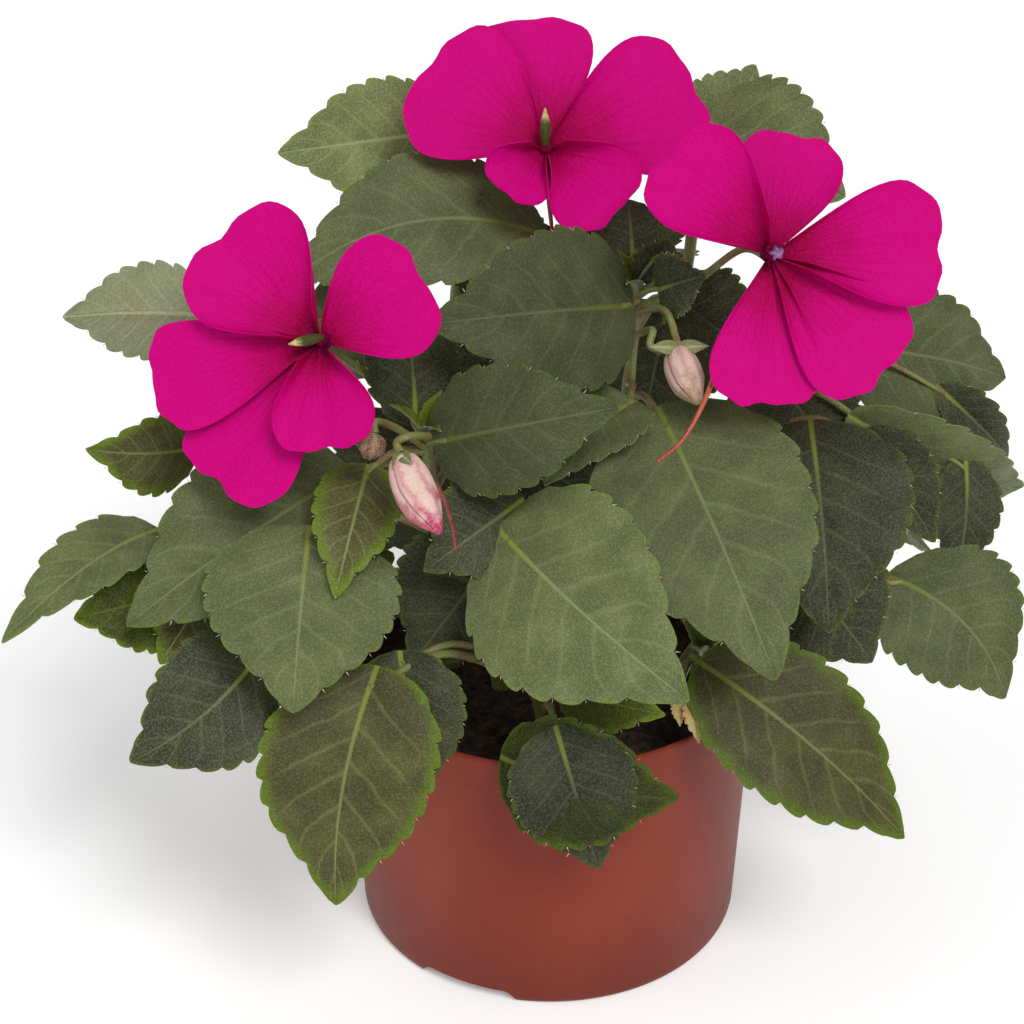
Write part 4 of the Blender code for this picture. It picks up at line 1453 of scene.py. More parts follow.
@dataclass
class Foliage:
    """The leaves of every shoot with their stems, stalks and the bristles of their margins."""

    half_thick: float = 0.00020
    rib_sag: float = 0.0004
    quilt: float = 0.00022
    tooth_depth: float = 0.0016
    ruffle: float = 0.0006
    first_tooth: float = 0.13
    last_tooth: float = 0.945
    veins: float = 7.0
    stem_radius: float = 0.0024
    stalk_radius: float = 0.0011
    twig_radius: float = 0.0010
    tones: tuple[Tone, ...] = tuple(Tone)
    steps: tuple[float, ...] = (0.03, 0.14, 0.32, 0.55, 0.78, 0.94)
    young_ends: tuple[tuple[float, float], ...] = ((9, 6), (7, 8), (5, 9))
    young_width: float = 4.4
    columns: int = 19
    crowding: float = 1.35
    stagger: float = 0.020
    vein_slant: float = 0.26
    vein_offset: float = 0.3
    plain_width: float = 36
    bristled_width: float = 12

    def stations(self, one: Leaf) -> tuple[np.ndarray, np.ndarray, np.ndarray]:
        """Where a blade's rows lie.

        Args:
            one: The leaf.

        Returns:
            The shares of the midrib, how deep the margin is cut at each, 0 to 1, and the rows
            that lie at the bottom of a notch.
        """
        teeth = 8 if one.width >= 34 else 7 if one.width >= 24 else 6 if one.width >= 16 else 5
        span = (self.last_tooth - self.first_tooth) / teeth
        shares = [0.003, 0.03, 0.075]
        cuts = [0.0, 0.0, 0.15]
        notches = []
        for tooth in range(teeth):
            for part in self.steps:
                shares.append(self.first_tooth + (tooth + part) * span)
                cuts.append((1 - part) ** 2.2 + 0.28 * max(0.0, (part - 0.8) / 0.2) ** 2)
            notches.append(len(shares) - len(self.steps))
        shares += [0.965, 0.985, 0.9985]
        cuts += [0.3, 0.1, 0.0]
        return np.array(shares), np.array(cuts), np.array(notches)

    def grid(self, one: Leaf) -> tuple[np.ndarray, np.ndarray, np.ndarray, np.ndarray]:
        """A blade's rows and columns, cut at the margin.

        Args:
            one: The leaf.

        Returns:
            Shares s, places t, the height of the relief, and the notches' rows.
        """
        shares, cuts, notches = self.stations(one)
        columns = np.linspace(-1, 1, self.columns)
        columns = np.sign(columns) * np.abs(columns) ** self.crowding
        s, t = np.meshgrid(shares, columns, indexing="ij")
        half = np.maximum(one.half(s), 1e-5)
        depth = np.minimum(self.tooth_depth * (0.6 + one.width / 90), 0.32 * half)
        edge = smooth(0.55, 1.0, np.abs(t))
        bulge = 1.02 - depth / half * cuts[:, None]
        side = np.where(t > 0, 1.0, -1.0)
        s = s + self.stagger * side * edge * np.sin(np.pi * s) ** 0.5
        t = t * (1 + (bulge - 1) * edge)
        offset = np.where(t > 0, self.vein_offset, 0.0)
        phase = (s - self.vein_slant * np.abs(t)) * self.veins + offset
        inner = smooth(0.02, 0.25, np.abs(t)) * (1 - smooth(0.7, 1.0, np.abs(t)))
        scale = one.width / self.plain_width
        lift = self.quilt * scale * np.abs(np.sin(np.pi * phase)) ** 0.7 * inner
        seed = float(one.base[0] * 900 + one.tip[2] * 700)
        wave = np.sin(s * 17 + seed + 1.5 * side) * 0.6 + np.sin(s * 31 + 2 * seed) * 0.4
        lift = lift + self.ruffle * scale * wave * smooth(0.35, 1.0, np.abs(t))
        return s, t, lift, notches

    def dress(self) -> dict[Tone, tuple[bpy.types.Material, bpy.types.Material]]:
        """The materials of every tone.

        Returns:
            The upper and the lower one, by tone.
        """
        made = {}
        for tone, finish in LEAF_FINISHES.items():
            name = f"leaf_{tone.value}"
            made[tone] = (finish.upper(f"{name}_upper"), finish.under(f"{name}_under"))
        return made

    def young(self, stem: Sequence[np.ndarray], number: int) -> list[Leaf]:
        """The small leaves that open at a shoot's growing tip.

        Args:
            stem: The points of the shoot's stem.
            number: The shoot's number, which varies where they point.

        Returns:
            The leaves.
        """
        made = []
        tip = stem[-1]
        root = tip - SKYWARD * 0.001
        shape = {"arch": 0.12, "fold": 0.6, "tone": Tone.BRIGHT}
        for turn, (height, reach) in enumerate(self.young_ends):
            azimuth = 47 * number + 125 * turn
            end = tip + around(azimuth, reach, height)
            facing = SKYWARD - around(azimuth, 0.8, 0.0) / MM
            made.append(Leaf(root, end, self.young_width, facing=facing, **shape))
        return made

    def blades(self, name: str, plan: Shoot, number: int,
               materials: dict[Tone, tuple[bpy.types.Material, bpy.types.Material]],
               spikes: list[tuple[np.ndarray, np.ndarray]]) -> bpy.types.Object:
        """Build the blades of one shoot.

        Args:
            name: The shoot's name.
            plan: The shoot.
            number: The shoot's number, which varies its tones.
            materials: The materials of the tones.
            spikes: Takes the place and direction of each bristle.

        Returns:
            The piece.
        """
        sheets = Sheets()
        order = [material for tone in self.tones for material in materials[tone]]
        for count, one in enumerate([*plan.leaves, *self.young(plan.stem(), number)]):
            s, t, lift, notches = self.grid(one)
            middle = one.surface(s, t, lift)
            half = one.half(s)
            rib = np.abs(t) * half / MM
            own_map = np.stack([s, 0.5 + 0.5 * t], -1)
            thick = self.half_thick * (1 - 0.45 * smooth(0.6, 1.0, np.abs(t)))
            sag = self.rib_sag * (1 - 0.85 * s) * np.exp(-((rib / 0.8) ** 2))
            edge = np.maximum(1 - np.abs(t), 0.0) * half / MM
            # Each leaf's colour factor: its light, partly painted light and shade and partly its
            # own tone, times a small random change of tone.
            tone = one.light * (1 + 0.10 * math.sin(5.1 * count + 3.7 * number))
            slot = 2 * self.tones.index(one.tone)
            kept = {"rib": rib, "edge": edge, "tone": tone}
            sheets.blade(middle, one.frame()[3], thick, sag, own_map, kept, (slot, slot + 1))
            if one.width > self.bristled_width:
                along = one.frame()[1]
                for row in notches:
                    for column, inner in ((0, 1), (-1, -2)):
                        way = unit(middle[row, column] - middle[row, inner])
                        spikes.append((middle[row, column], unit(way + 0.9 * along)))
        return sheets.finish(f"foliage_{name}", order)

    def stalks(self, name: str, plan: Shoot, tubes: Recipe,
               material: bpy.types.Material) -> bpy.types.Object:
        """Build the stem, leaf stalks and flower stalks of one shoot.

        Args:
            name: The shoot's name.
            plan: The shoot.
            tubes: The recipe for tubes.
            material: The stalks' material.

        Returns:
            The piece.
        """
        lines = Lines()
        stem = plan.stem()
        course = course_through(stem, 10)
        share = np.linspace(0, 1, len(course))
        radii = self.stem_radius * (1 - 0.5 * share)
        for one in plan.leaves:
            radii = radii * (1 + 0.10 * np.exp(-(((share - one.joint) / 0.02) ** 2)))
        radii = np.minimum(radii, self.stem_radius)
        radii[-2:] *= (0.8, 0.35)
        lines.add(course, radii)
        for one in plan.leaves:
            root = along_path(stem, one.joint)
            reach = float(np.linalg.norm(one.base - root))
            middle = root * 0.45 + one.base * 0.55 + SKYWARD * 0.12 * reach
            inside = one.surface(np.array(0.09), np.array(0.0))
            path = course_through([root, middle, inside], 8)
            size = self.stalk_radius * min(1.0, 0.6 + one.width / 80)
            lines.add(path, size * np.linspace(1.1, 0.7, len(path)))
        for twig in TWIGS:
            if twig.shoot == name:
                path = course_through([along_path(stem, twig.joint), *twig.course], 8)
                swell = 1 + 0.25 * smooth(0.9, 1.0, np.linspace(0, 1, len(path)))
                lines.add(path, 0.9 * self.twig_radius * swell)
        return tubes.bake(f"stalks_{name}", lines.mesh("lines"), material)

    def bristles(self, spikes: list[tuple[np.ndarray, np.ndarray]]) -> bpy.types.Object:
        """Build the bristles in the notches of all margins.

        Args:
            spikes: The place and direction of each.

        Returns:
            The piece.
        """
        mesh = bpy.data.meshes.new("notch_points")
        mesh.from_pydata([tuple(place + 0.0004 * way) for place, way in spikes], [], [])
        kept = mesh.attributes.new("way", "FLOAT_VECTOR", "POINT")
        ways = np.array([way for _, way in spikes], np.float32)
        kept.data.foreach_set("vector", ways.reshape(-1))
        paint = Paint("bristle_tips")
        change = paint.step(paint.grain(3.0), 0.4, 0.6)
        tint = paint.mix(change, srgb(206, 196, 150), srgb(190, 130, 100))
        return bristle_recipe().bake("leaf_bristles", mesh, paint.finish(tint, 0.5))

    def build(self) -> None:
        """Build the leaves, stalks and bristles and bind them to the frame."""
        materials = self.dress()
        stalk = StalkFinish().material("stalk_skin")
        tubes = tube_recipe()
        spikes: list[tuple[np.ndarray, np.ndarray]] = []
        for number, (name, plan) in enumerate(SHOOTS.items()):
            settle(self.blades(name, plan, number, materials, spikes), "leaf", f"shoot_{name}")
            settle(self.stalks(name, plan, tubes, stalk), "leaf")
        settle(self.bristles(spikes), "leaf")


def lathed(name: str, axis_points: np.ndarray, radii: np.ndarray, sides: int,
           shape: Callable[[np.ndarray, np.ndarray], np.ndarray] | None = None) -> bpy.types.Mesh:
    """A closed mesh of rings along a course.

    Args:
        name: The mesh's name.
        axis_points: The middles of the rings.
        radii: The radius of each ring.
        sides: The number of points on a ring.
        shape: Gives the factor on the radius from the share along and the turn of a point.

    Returns:
        The mesh, with its own map "blade": the share along, and the turn as a share.
    """
    ways = unit(np.gradient(axis_points, axis=0))
    side = unit(np.cross(ways[0], (0.31, 0.2, 0.93)))
    share = np.linspace(0, 1, len(radii))
    turns = np.linspace(0, 2 * math.pi, sides, endpoint=False)
    rows, maps = [], []
    for place, way, radius, part in zip(axis_points, ways, radii, share):
        side = unit(side - float(side @ way) * way)
        other = np.cross(way, side)
        factor = np.ones(sides) if shape is None else shape(np.full(sides, part), turns)
        ring = np.cos(turns)[:, None] * side + np.sin(turns)[:, None] * other
        rows.append(place + ring * (radius * factor)[:, None])
        maps.append(np.stack([np.full(sides, part), turns / (2 * math.pi)], -1))
    points = np.vstack([*rows, axis_points[:1], axis_points[-1:]])
    own = np.vstack([*maps, [[0.0, 0.5]], [[1.0, 0.5]]])
    faces = []
    for row in range(len(rows) - 1):
        for i in range(sides):
            j = (i + 1) % sides
            a, b = row * sides, (row + 1) * sides
            faces.append((a + i, a + j, b + j, b + i))
    start, end = len(points) - 2, len(points) - 1
    last = (len(rows) - 1) * sides
    faces += [(start, (i + 1) % sides, i) for i in range(sides)]
    faces += [(end, last + i, last + (i + 1) % sides) for i in range(sides)]
    mesh = bpy.data.meshes.new(name)
    mesh.from_pydata(points.tolist(), [], faces)
    layer = mesh.uv_layers.new(name="blade")
    corners = [own[mesh.loops[i].vertex_index] for i in range(len(mesh.loops))]
    layer.data.foreach_set("uv", np.array(corners, np.float32).reshape(-1))
    mesh.shade_smooth()
    return mesh


@dataclass
class Flower:
    """One open bloom: petals on a hub, the capsule or anthers at its heart, and its spur."""

    name: str
    plan: Bloom
    half_thick: float = 0.00017
    notch: float = 0.04
    flutter: float = 0.0008
    crease: float = 0.0010
    capsule_radius: float = 0.0013
    spur_radius: float = 0.0009
    spur_taper: float = 0.42
    rows: int = 16
    columns: int = 37
    notch_width: float = 0.34
    crease_width: float = 0.10
    hub_sides: int = 24
    hub_map: float = 0.05

    def petal(self, sheets: Sheets, one: Petal, layer: int) -> None:
        """Add one petal: rounded, notched at its end and gently fluted.

        Args:
            sheets: The mesh under construction.
            one: The petal.
            layer: Its place from back to front.
        """
        right, top, out = self.plan.frame()
        shares = np.concatenate([[0.0, 0.08, 0.18], np.linspace(0.28, 1.0, self.rows)])
        columns = np.sin(np.linspace(-math.pi / 2, math.pi / 2, self.columns))
        s, t = np.meshgrid(shares, columns * 0.9985, indexing="ij")
        seed = one.angle * 0.13
        turn = np.radians(one.angle + t * one.spread * self.plan.breadth)
        notch = self.notch * smooth(0.0, 1.0, 1 - np.abs(t) / self.notch_width)
        reach = one.length * MM * (1 - np.abs(t) ** 5) ** 0.30 * (1 - 0.06 * t**2 - notch)
        reach = reach * (1 + 0.012 * np.sin(7 * t + seed) + 0.008 * np.sin(17 * t + 2 * seed))
        start = 0.5 * self.plan.hub_radius
        away = start + s * np.maximum(reach - start, 0.0003)
        lift = (one.rise * s**2 + self.plan.step * layer * s**0.5) * MM
        flute = np.sin(4.2 * t + seed) * 0.6 + np.sin(9.5 * t + 2 * seed) * 0.4
        lift = lift + self.flutter * flute * s**1.6
        lift = lift - 0.0006 * smooth(0.72, 1.0, s) + 0.0004 * np.abs(t) ** 3 * s
        crease = np.exp(-((t / self.crease_width) ** 2)) * s * (1 - 0.6 * s)
        lift = lift - self.crease * crease
        place = away[..., None] * (np.cos(turn)[..., None] * right + np.sin(turn)[..., None] * top)
        middle = self.plan.centre + place + out * lift[..., None]
        thick = self.half_thick * (1 - 0.4 * smooth(0.75, 1.0, s))
        own_map = np.stack([away / (one.length * MM), 0.5 + 0.5 * t], -1)
        sheets.blade(middle, out, thick, np.zeros_like(s), own_map, {}, (0, 0))

    def corolla(self, material: bpy.types.Material) -> bpy.types.Object:
        """The five petals and the hub that holds them, as one piece.

        The hub's own map runs over the first part of a petal's, which makes the throat dark.

        Args:
            material: The petals' finish.

        Returns:
            The piece.
        """
        sheets = Sheets()
        for layer, one in enumerate(self.plan.petals):
            self.petal(sheets, one, layer)
        piece = sheets.finish(f"petals_{self.name}", [material])
        steps = np.linspace(0, 1, 17)
        back = self.plan.spot(0.0, 0.0, -self.plan.hub_radius / MM)
        course = back + np.outer(steps, self.plan.spot(*self.plan.heart[0]) - back)
        round_off = np.sqrt(np.maximum(1 - (2 * steps - 1) ** 4, 0.01))
        radii = self.plan.hub_radius * round_off * (0.92 - 0.42 * steps)
        hub = lathed("hub", course, radii, self.hub_sides)
        for corner in hub.uv_layers["blade"].data:
            corner.uv[0] *= self.hub_map
        return joined(piece, hub, material)

    def heart(self, green: bpy.types.Material, purple: bpy.types.Material) -> bpy.types.Object:
        """The capsule with its beak, or the knot of anthers.

        Args:
            green: The finish of a capsule.
            purple: The finish of the anthers.

        Returns:
            The piece.
        """
        steps = np.linspace(0, 1, 26)
        start, end = (self.plan.spot(*spot) for spot in self.plan.heart)
        course = start + np.outer(steps, end - start)
        if self.plan.anthers:
            swell = 0.55 + 1.0 * smooth(0.25, 0.75, steps)
            radii = self.capsule_radius * np.sqrt(np.maximum(np.sin(np.pi * steps), 0.01)) * swell
            mesh = lathed(
                "heart", course, radii, 40,
                lambda part, turn: 0.8 + 0.2 * np.sin(5 * turn + 9 * part),
            )
        else:
            body = np.sin(np.pi * np.clip(steps * 0.86 + 0.10, 0, 1)) ** 0.7
            body = body * (1 - 0.35 * smooth(0.6, 1.0, steps))
            radii = self.capsule_radius * np.maximum(body, 0.08)
            mesh = lathed(
                "heart", course, radii, 30, lambda part, turn: 0.92 + 0.08 * np.cos(5 * turn)
            )
        mesh.materials.append(purple if self.plan.anthers else green)
        return add_piece(f"heart_{self.name}", mesh)

    def spur(self, tubes: Recipe, material: bpy.types.Material) -> bpy.types.Object:
        """The tapered nectar spur.

        Args:
            tubes: The recipe for tubes.
            material: The spur's finish.

        Returns:
            The piece.
        """
        path = course_through([self.plan.under(), *self.plan.spur], 10)
        lines = Lines()
        lines.add(path, self.spur_radius * np.linspace(1.0, self.spur_taper, len(path)))
        return tubes.bake(f"spur_{self.name}", lines.mesh("lines"), material, Sides=14)

    def build(self, materials: dict[str, bpy.types.Material], tubes: Recipe) -> None:
        """Build the bloom and bind it to the frame.

        Args:
            materials: The finishes by name.
            tubes: The recipe for tubes.
        """
        node = f"bloom_{self.name}"
        settle(self.corolla(materials["petal"]), "petal", f"{node}_petals")
        heart = self.heart(materials["capsule"], materials["anthers"])
        settle(heart, "capsule", f"{node}_capsule")
        settle(self.spur(tubes, materials["spur"]), "spur", f"{node}_spur")


def joined(piece: bpy.types.Object, extra: bpy.types.Mesh,
           material: bpy.types.Material) -> bpy.types.Object:
    """A piece with another mesh added to its own, in one of its materials.

    Args:
        piece: The piece.
        extra: The mesh to add, which is used up.
        material: A material of the piece, for the new faces.

    Returns:
        The piece.
    """
    slot = list(piece.data.materials).index(material)
    for face in extra.polygons:
        face.material_index = slot
    shape = bmesh.new()
    shape.from_mesh(piece.data)
    shape.from_mesh(extra)
    shape.to_mesh(piece.data)
    shape.free()
    bpy.data.meshes.remove(extra)
    return piece


@dataclass
class ClosedBud:
    """A closed bud with the folds of its petals wound around it."""

    name: str
    plan: Bud
    sides: int = 40
    steps: int = 9

    def build(self) -> None:
        """Build the bud and bind it to the frame."""
        course = course_through(self.plan.course, self.steps)
        knots = np.linspace(0, 1, len(self.plan.radii))
        share = np.linspace(0, 1, len(course))
        table = np.array(self.plan.radii)[:, None] * np.ones(3)
        radii = course_through(list(table), self.steps)[:, 0] * MM
        radii = np.clip(radii, 0.00025, np.interp(share, knots, self.plan.radii) * MM * 1.03)
        folds, twist, relief = self.plan.folds, self.plan.twist, self.plan.relief

        def wound(part: np.ndarray, turn: np.ndarray) -> np.ndarray:
            """The factor on the radius, with a furrow where two folds meet.

            Args:
                part: The shares along the bud.
                turn: The turns around it.

            Returns:
                The factor at each.
            """
            wave = np.abs(np.sin(0.5 * folds * (turn + 2 * math.pi * twist * part / folds)))
            return 1 - relief * (1 - wave**0.6) * np.sin(np.pi * part) ** 0.5 * 1.6

        mesh = lathed(f"bud_{self.name}_skin", course, radii, self.sides, wound)
        mesh.materials.append(BUD_FINISHES[self.name].material(f"bud_{self.name}_skin"))
        slot = "dry_bud" if self.name == "dry" else "bud"
        settle(add_piece(f"{self.name}_bud", mesh), slot, f"bud_{self.name}")


@dataclass
class BudSpur:
    """The thin spur that hangs at the pink bud."""

    radius: float = 0.0007
    taper: float = 0.45
    steps: int = 8
    sides: int = 12
    finish: SpurFinish = SpurFinish(srgb(116, 44, 32), srgb(118, 16, 20))

    def build(self, tubes: Recipe) -> None:
        """Build the spur and bind it to the frame.

        Args:
            tubes: The recipe for tubes.
        """
        path = course_through(PINK_SPUR, self.steps)
        lines = Lines()
        lines.add(path, self.radius * np.linspace(1.0, self.taper, len(path)))
        material = self.finish.material("bud_spur_red")
        piece = tubes.bake("pink_bud_spur", lines.mesh("lines"), material, Sides=self.sides)
        settle(piece, "spur")


@dataclass
class Sepals:
    """The small green sepals that spread behind the pale bud and the pink one."""

    pale_root: tuple[float, float, float] = (678, 348, -13)
    pink_root: tuple[float, float, float] = (402, 455, -50.5)
    half_thick: float = 0.0002
    edge_mm: float = 3.0

    def build(self, material: bpy.types.Material) -> None:
        """Build the sepals and bind them to the frame.

        Args:
            material: Their finish.
        """
        sheets = Sheets()
        pale, pink = seen(*self.pale_root), seen(*self.pink_root)
        ends = (
            (pale, seen(649, 347, -16), 3.4),
            (pale, seen(709, 346, -15), 3.4),
            (pale, seen(677, 366, -9), 3.0),
            (pink, seen(392, 470, -55), 3.0),
            (pink, seen(412, 464, -56), 3.0),
        )
        s, t = np.meshgrid(np.linspace(0.01, 0.998, 18), np.linspace(-1, 1, 9), indexing="ij")
        for base, tip, width in ends:
            one = Leaf(base, tip, width, arch=0.10, fold=0.5)
            middle = one.surface(s, t)
            thick = np.full_like(s, self.half_thick)
            own_map = np.stack([s, 0.5 + 0.5 * t], -1)
            rib = np.abs(t) * one.half(s) / MM
            kept = {"rib": rib, "edge": np.full_like(s, self.edge_mm), "tone": np.ones_like(s)}
            sheets.blade(middle, one.frame()[3], thick, np.zeros_like(s), own_map, kept, (0, 0))
        settle(sheets.finish("bud_sepals", [material]), "leaf")


LIP = (
    (0.0037, 0.0030),
    (0.0034, 0.0026),
    (0.0016, 0.0024),
    (0.00135, 0.0021),
    (0.0012, 0.0006),
    (0.0010, 0.0002),
    (0.0007, 0.0),
    (0.0003, 0.0001),
    (0.0001, 0.0004),
    (0.0, 0.0009),
)


@dataclass
class Pot:
    """The turned nursery pot, with its rim band, shelf, notched foot and drain holes.

    The lip's section is given by how far inside the rim and below the top its points lie.
    """

    height: float = 0.076
    rim_radius: float = 0.0525
    body_radius: float = 0.0518
    foot_radius: float = 0.0486
    wall: float = 0.0014
    rim_band: float = 0.009
    foot_height: float = 0.0035
    foot_width: float = 0.004
    floor: float = 0.0016
    notches: int = 3
    notch_first: float = -116.0
    notch_half: float = 0.0134
    drains: int = 6
    drain_radius: float = 0.0035
    drain_ring: float = 0.030
    lip: tuple[tuple[float, float], ...] = LIP
    steps: int = 180

    def radius(self, height: float) -> float:
        """The outer radius below the rim band.

        Args:
            height: The height above the ground.

        Returns:
            The radius there.
        """
        share = height / (self.height - self.rim_band)
        foot = self.foot_radius + 0.0004
        return foot + share * (self.body_radius - foot)

    def profile(self) -> np.ndarray:
        """The wall's section.

        Returns:
            Its points as (radius, height), from the axis round to the axis.
        """
        floor_top = self.foot_height + self.floor
        band = self.height - self.rim_band
        rim, top = self.rim_radius, self.height
        rows = [(0.0, floor_top), (self.radius(floor_top) - self.wall - 0.002, floor_top)]
        for height in np.linspace(0.008, band, 16):
            rows.append((self.radius(height) - self.wall, height))
        rows += [(rim - 0.0046, band + 0.0010), (rim - 0.0040, band + 0.0030)]
        rows += [(rim - inset, top - drop) for inset, drop in self.lip]
        for share in np.linspace(0.15, 1.0, 7):
            rows.append((rim - 0.0002 * share, top - 0.0009 - share * (self.rim_band - 0.0013)))
        rows += [(rim - 0.0004, band + 0.0001), (self.body_radius, band - 0.0002)]
        for height in np.linspace(band - 0.002, 0.0042, 22):
            rows.append((self.radius(height), height))
        for turn in np.linspace(0.1, 1.0, 7):
            angle = turn * math.pi / 2
            inset = 0.0018 * (1 - math.cos(angle))
            rows.append((self.radius(0.0026) - inset, 0.0026 * (1 - math.sin(angle))))
        inner = self.foot_radius - self.foot_width
        rows += [
            (inner, 0.0),
            (inner - 0.0004, 0.0004),
            (inner - 0.0005, self.foot_height),
            (0.0, self.foot_height),
        ]
        return np.array(rows)

    def shell(self) -> bpy.types.Mesh:
        """The turned shell before its holes are cut.

        Returns:
            The mesh.
        """
        rows = self.profile()
        turns = np.linspace(0, 2 * math.pi, self.steps, endpoint=False)
        ring = rows[1:-1]
        points = [(0.0, 0.0, rows[0][1]), (0.0, 0.0, rows[-1][1])]
        for radius, height in ring:
            points += [(radius * math.cos(a), radius * math.sin(a), height) for a in turns]
        faces = []
        for i in range(self.steps):
            j = (i + 1) % self.steps
            faces.append((0, 2 + i, 2 + j))
            last = 2 + (len(ring) - 1) * self.steps
            faces.append((1, last + j, last + i))
            for row in range(len(ring) - 1):
                a, b = 2 + row * self.steps, 2 + (row + 1) * self.steps
                faces.append((a + i, b + i, b + j, a + j))
        mesh = bpy.data.meshes.new("pot_shell")
        mesh.from_pydata(points, [], faces)
        return mesh

    def cutters(self) -> Iterable[bpy.types.Mesh]:
        """The shapes of the foot notches, with rounded ends, and of the drain holes.

        Yields:
            A closed mesh for each hole.
        """
        for number in range(self.notches):
            shape = bmesh.new()
            bmesh.ops.create_cube(shape, size=1.0)
            for vertex in shape.verts:
                upper = vertex.co.z > 0
                vertex.co.x = 0.047 + 0.014 * vertex.co.x
                vertex.co.y = 2 * self.notch_half * vertex.co.y * (0.90 if upper else 1.06)
                vertex.co.z = self.foot_height - 0.0002 if upper else -0.002
            corners = [
                edge for edge in shape.edges
                if all(v.co.z > 0 for v in edge.verts)
                and abs(edge.verts[0].co.y - edge.verts[1].co.y) < 1e-6
            ]
            bmesh.ops.bevel(
                shape, geom=corners, offset=0.0022, segments=6, affect="EDGES", profile=0.5
            )
            turn = math.radians(self.notch_first + number * 360 / self.notches)
            bmesh.ops.rotate(shape, verts=shape.verts, matrix=Matrix.Rotation(turn, 3, "Z"))
            yield self.mesh_of(shape, "notch")
        for number in range(self.drains):
            turn = 2 * math.pi * (number + 0.5) / self.drains
            shape = bmesh.new()
            bmesh.ops.create_cone(
                shape, cap_ends=True, segments=32, radius1=self.drain_radius,
                radius2=self.drain_radius, depth=0.006,
            )
            centre = (self.drain_ring * math.cos(turn), self.drain_ring * math.sin(turn), 0.0045)
            bmesh.ops.translate(shape, verts=shape.verts, vec=centre)
            yield self.mesh_of(shape, "drain")

    @staticmethod
    def mesh_of(shape: bmesh.types.BMesh, name: str) -> bpy.types.Mesh:
        """A mesh from a bmesh.

        Args:
            shape: The bmesh, which is freed.
            name: The mesh's name.

        Returns:
            The mesh.
        """
        mesh = bpy.data.meshes.new(name)
        shape.to_mesh(mesh)
        shape.free()
        return mesh

    def build(self) -> None:
        """Turn the shell, cut its holes, dress it and bind it to the frame."""
        piece = add_piece("nursery_pot", self.shell())
        for mesh in self.cutters():
            cutter = add_piece("cutter", mesh)
            hole = piece.modifiers.new("hole", "BOOLEAN")
            hole.operation = "DIFFERENCE"
            hole.object = cutter
            graph = bpy.context.evaluated_depsgraph_get()
            cut = bpy.data.meshes.new_from_object(piece.evaluated_get(graph))
            piece.modifiers.clear()
            piece.data = cut
            bpy.data.objects.remove(cutter, do_unlink=True)
        piece.data.materials.clear()
        piece.data.materials.append(ClayFinish().material("terracotta_plastic"))
        piece.data.shade_smooth()
        piece.data.set_sharp_from_angle(angle=math.radians(30))
        settle(piece, "pot_plastic", "pot")


@dataclass
class Soil:
    """The peat that fills the pot: an uneven bed with crumbs strewn on it."""

    top: float = 0.066
    dome: float = 0.0025
    bottom: float = 0.0055
    lump: float = 0.0007
    crumb_depth: float = 0.004
    gap: float = 0.0007
    waves: int = 14
    rings: int = 44
    steps: int = 120

    def build(self, pot: Pot) -> None:
        """Build the bed and its crumbs and bind them to the frame.

        Args:
            pot: The pot that holds it.
        """
        outer = pot.radius(self.top) - pot.wall - self.gap
        rng = np.random.default_rng(SEED)
        turns = np.linspace(0, 2 * math.pi, self.steps, endpoint=False)
        waves = [(rng.uniform(120, 900, 2), rng.uniform(0, 6, 1), 1 / (k + 2))
                 for k in range(self.waves)]
        points = [(0.0, 0.0, self.top + self.dome)]
        for ring in range(1, self.rings + 1):
            radius = outer * ring / self.rings
            x, y = radius * np.cos(turns), radius * np.sin(turns)
            z = self.top + self.dome * (1 - (radius / outer) ** 2)
            rough = sum(size * np.sin(way[0] * x + way[1] * y + turn) for way, turn, size in waves)
            heights = z + self.lump * rough * min(1.0, 6 * (1 - ring / self.rings) + 0.2)
            points += list(zip(x, y, heights))
        base = pot.radius(0.008) - pot.wall - 0.0006
        points += [(base * math.cos(a), base * math.sin(a), self.bottom) for a in turns]
        points.append((0.0, 0.0, self.bottom))
        faces = []
        for i in range(self.steps):
            j = (i + 1) % self.steps
            faces.append((0, 1 + i, 1 + j))
            for row in range(self.rings):
                a, b = 1 + row * self.steps, 1 + (row + 1) * self.steps
                faces.append((a + i, b + i, b + j, a + j))
            last = 1 + self.rings * self.steps
            faces.append((len(points) - 1, last + j, last + i))
        places = [tuple(float(c) for c in point) for point in points]
        mesh = bpy.data.meshes.new("peat_bed")
        mesh.from_pydata(places, [], faces)
        peat = PeatFinish().material("damp_peat")
        mesh.materials.append(peat)
        mesh.shade_smooth()
        settle(add_piece("peat_bed", mesh), "peat", "soil")
        lowest = self.top - self.crumb_depth
        ground = [face for face in faces if min(points[v][2] for v in face) > lowest]
        surface = bpy.data.meshes.new("surface")
        surface.from_pydata(places, [], ground)
        settle(crumb_recipe().bake("peat_crumbs", surface, peat), "peat")


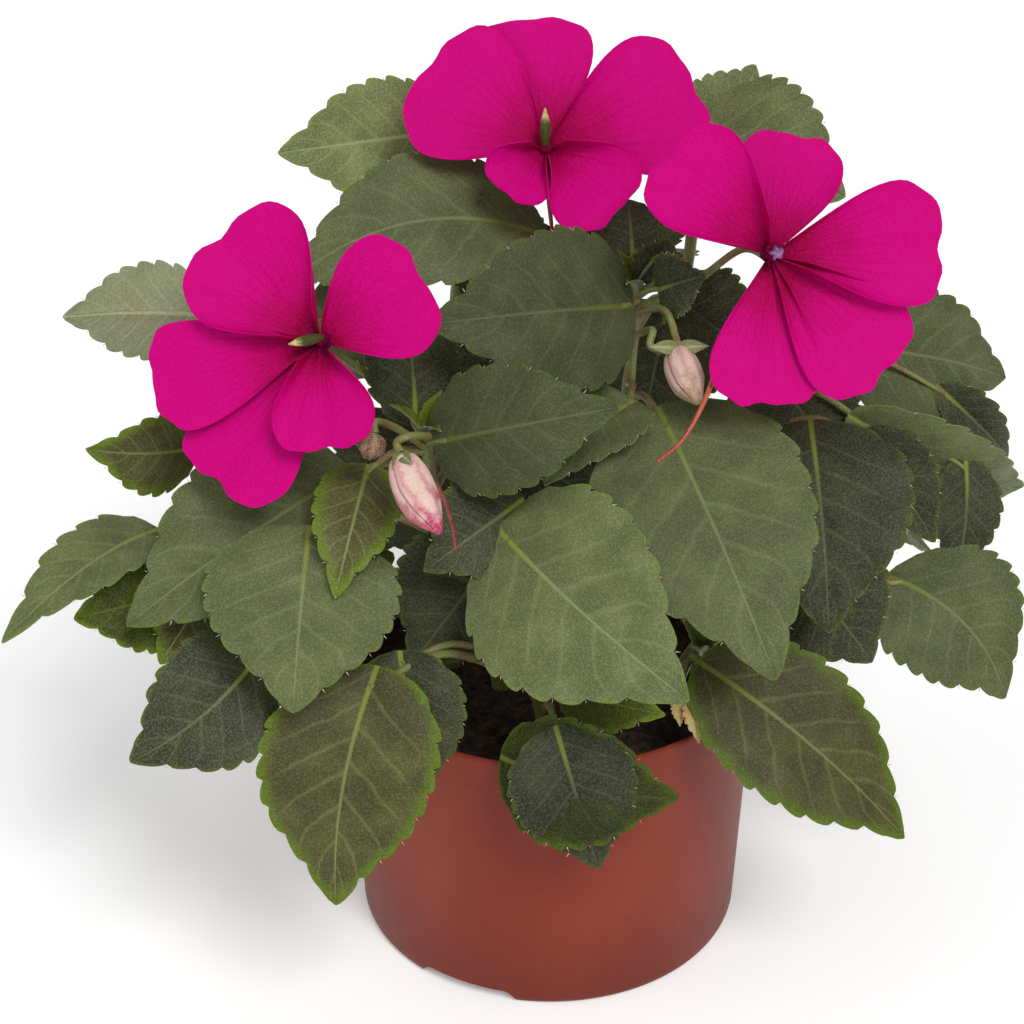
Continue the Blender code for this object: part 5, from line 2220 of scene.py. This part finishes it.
@dataclass
class Studio:
    """A plain pale floor and soft light, which aren't part of the object."""

    floor_side: float = 12.0
    key_light: float = 1.85
    fill_light: float = 0.55
    key_spread: float = math.radians(24)
    fill_spread: float = math.radians(70)
    world_light: float = 0.46
    backdrop: float = 1.0
    floor_glow: float = 0.18
    key_from: tuple[float, float, float] = (0.40, -0.85, 1.05)
    fill_from: tuple[float, float, float] = (-0.9, -0.6, 0.6)

    def lamp(self, name: str, origin: tuple, spread: float, strength: float) -> None:
        """A far soft light that shines evenly on the plant and the floor.

        Args:
            name: Its name.
            origin: The direction that it comes from.
            spread: The angle that it fills, which softens the shadows.
            strength: Its strength.
        """
        light = bpy.data.lights.new(name, "SUN")
        light.angle = spread
        light.energy = strength
        lamp = bpy.data.objects.new(name, light)
        bpy.context.scene.collection.objects.link(lamp)
        lamp.location = origin
        lamp.rotation_euler = (-Vector(origin)).to_track_quat("-Z", "Y").to_euler()

    def build(self) -> None:
        """Add the floor, the world and the lamps, and set how colours are shown."""
        mesh = bpy.data.meshes.new("studio_floor")
        half = self.floor_side / 2
        corners = [(-half, -half, 0), (half, -half, 0), (half, half, 0), (-half, half, 0)]
        mesh.from_pydata(corners, [], [(0, 1, 2, 3)])
        paint = Paint("pale_floor")
        mottle = paint.mix(paint.grain(300.0), srgb(246, 246, 246), srgb(250, 250, 250))
        glow = {"Emission_Color": (1.0, 1.0, 1.0, 1.0), "Emission_Strength": self.floor_glow}
        mesh.materials.append(paint.finish(mottle, 0.9, Specular_IOR_Level=0.1, **glow))
        add_piece("studio_floor", mesh)
        world = bpy.data.worlds.new("studio")
        world.use_nodes = True
        nodes, links = world.node_tree.nodes, world.node_tree.links
        light, shown = nodes["Background"], nodes.new("ShaderNodeBackground")
        for sky, strength in ((light, self.world_light), (shown, self.backdrop)):
            sky.inputs["Color"].default_value = (1.0, 1.0, 1.0, 1.0)
            sky.inputs["Strength"].default_value = strength
        chosen, path = nodes.new("ShaderNodeMixShader"), nodes.new("ShaderNodeLightPath")
        links.new(path.outputs["Is Camera Ray"], chosen.inputs[0])
        links.new(light.outputs[0], chosen.inputs[1])
        links.new(shown.outputs[0], chosen.inputs[2])
        links.new(chosen.outputs[0], nodes["World Output"].inputs["Surface"])
        bpy.context.scene.world = world
        self.lamp("key", self.key_from, self.key_spread, self.key_light)
        self.lamp("fill", self.fill_from, self.fill_spread, self.fill_light)
        scene = bpy.context.scene
        scene.view_settings.view_transform = "Standard"
        scene.view_settings.look = "None"


def main() -> None:
    """Build every piece around the frame, in order."""
    logging.basicConfig(level=logging.INFO, format="%(message)s")
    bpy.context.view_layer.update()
    VIEW.place()
    Studio().build()
    pot = Pot()
    pot.build()
    Soil().build(pot)
    Foliage().build()
    tubes = tube_recipe()
    materials = {
        "petal": PetalFinish().material("petal_magenta"),
        "capsule": CapsuleFinish(srgb(62, 78, 18), srgb(196, 186, 112)).material("capsule_green"),
        "anthers": CapsuleFinish(srgb(84, 22, 72), srgb(150, 104, 158)).material("anther_purple"),
        "spur": SpurFinish().material("spur_red"),
    }
    for name, plan in BLOOMS.items():
        Flower(name, plan).build(materials, tubes)
    for name, plan in BUDS.items():
        ClosedBud(name, plan).build()
    BudSpur().build(tubes)
    Sepals().build(LEAF_FINISHES[Tone.PALE].upper("sepal_green"))


if __name__ == "__main__":
    main()
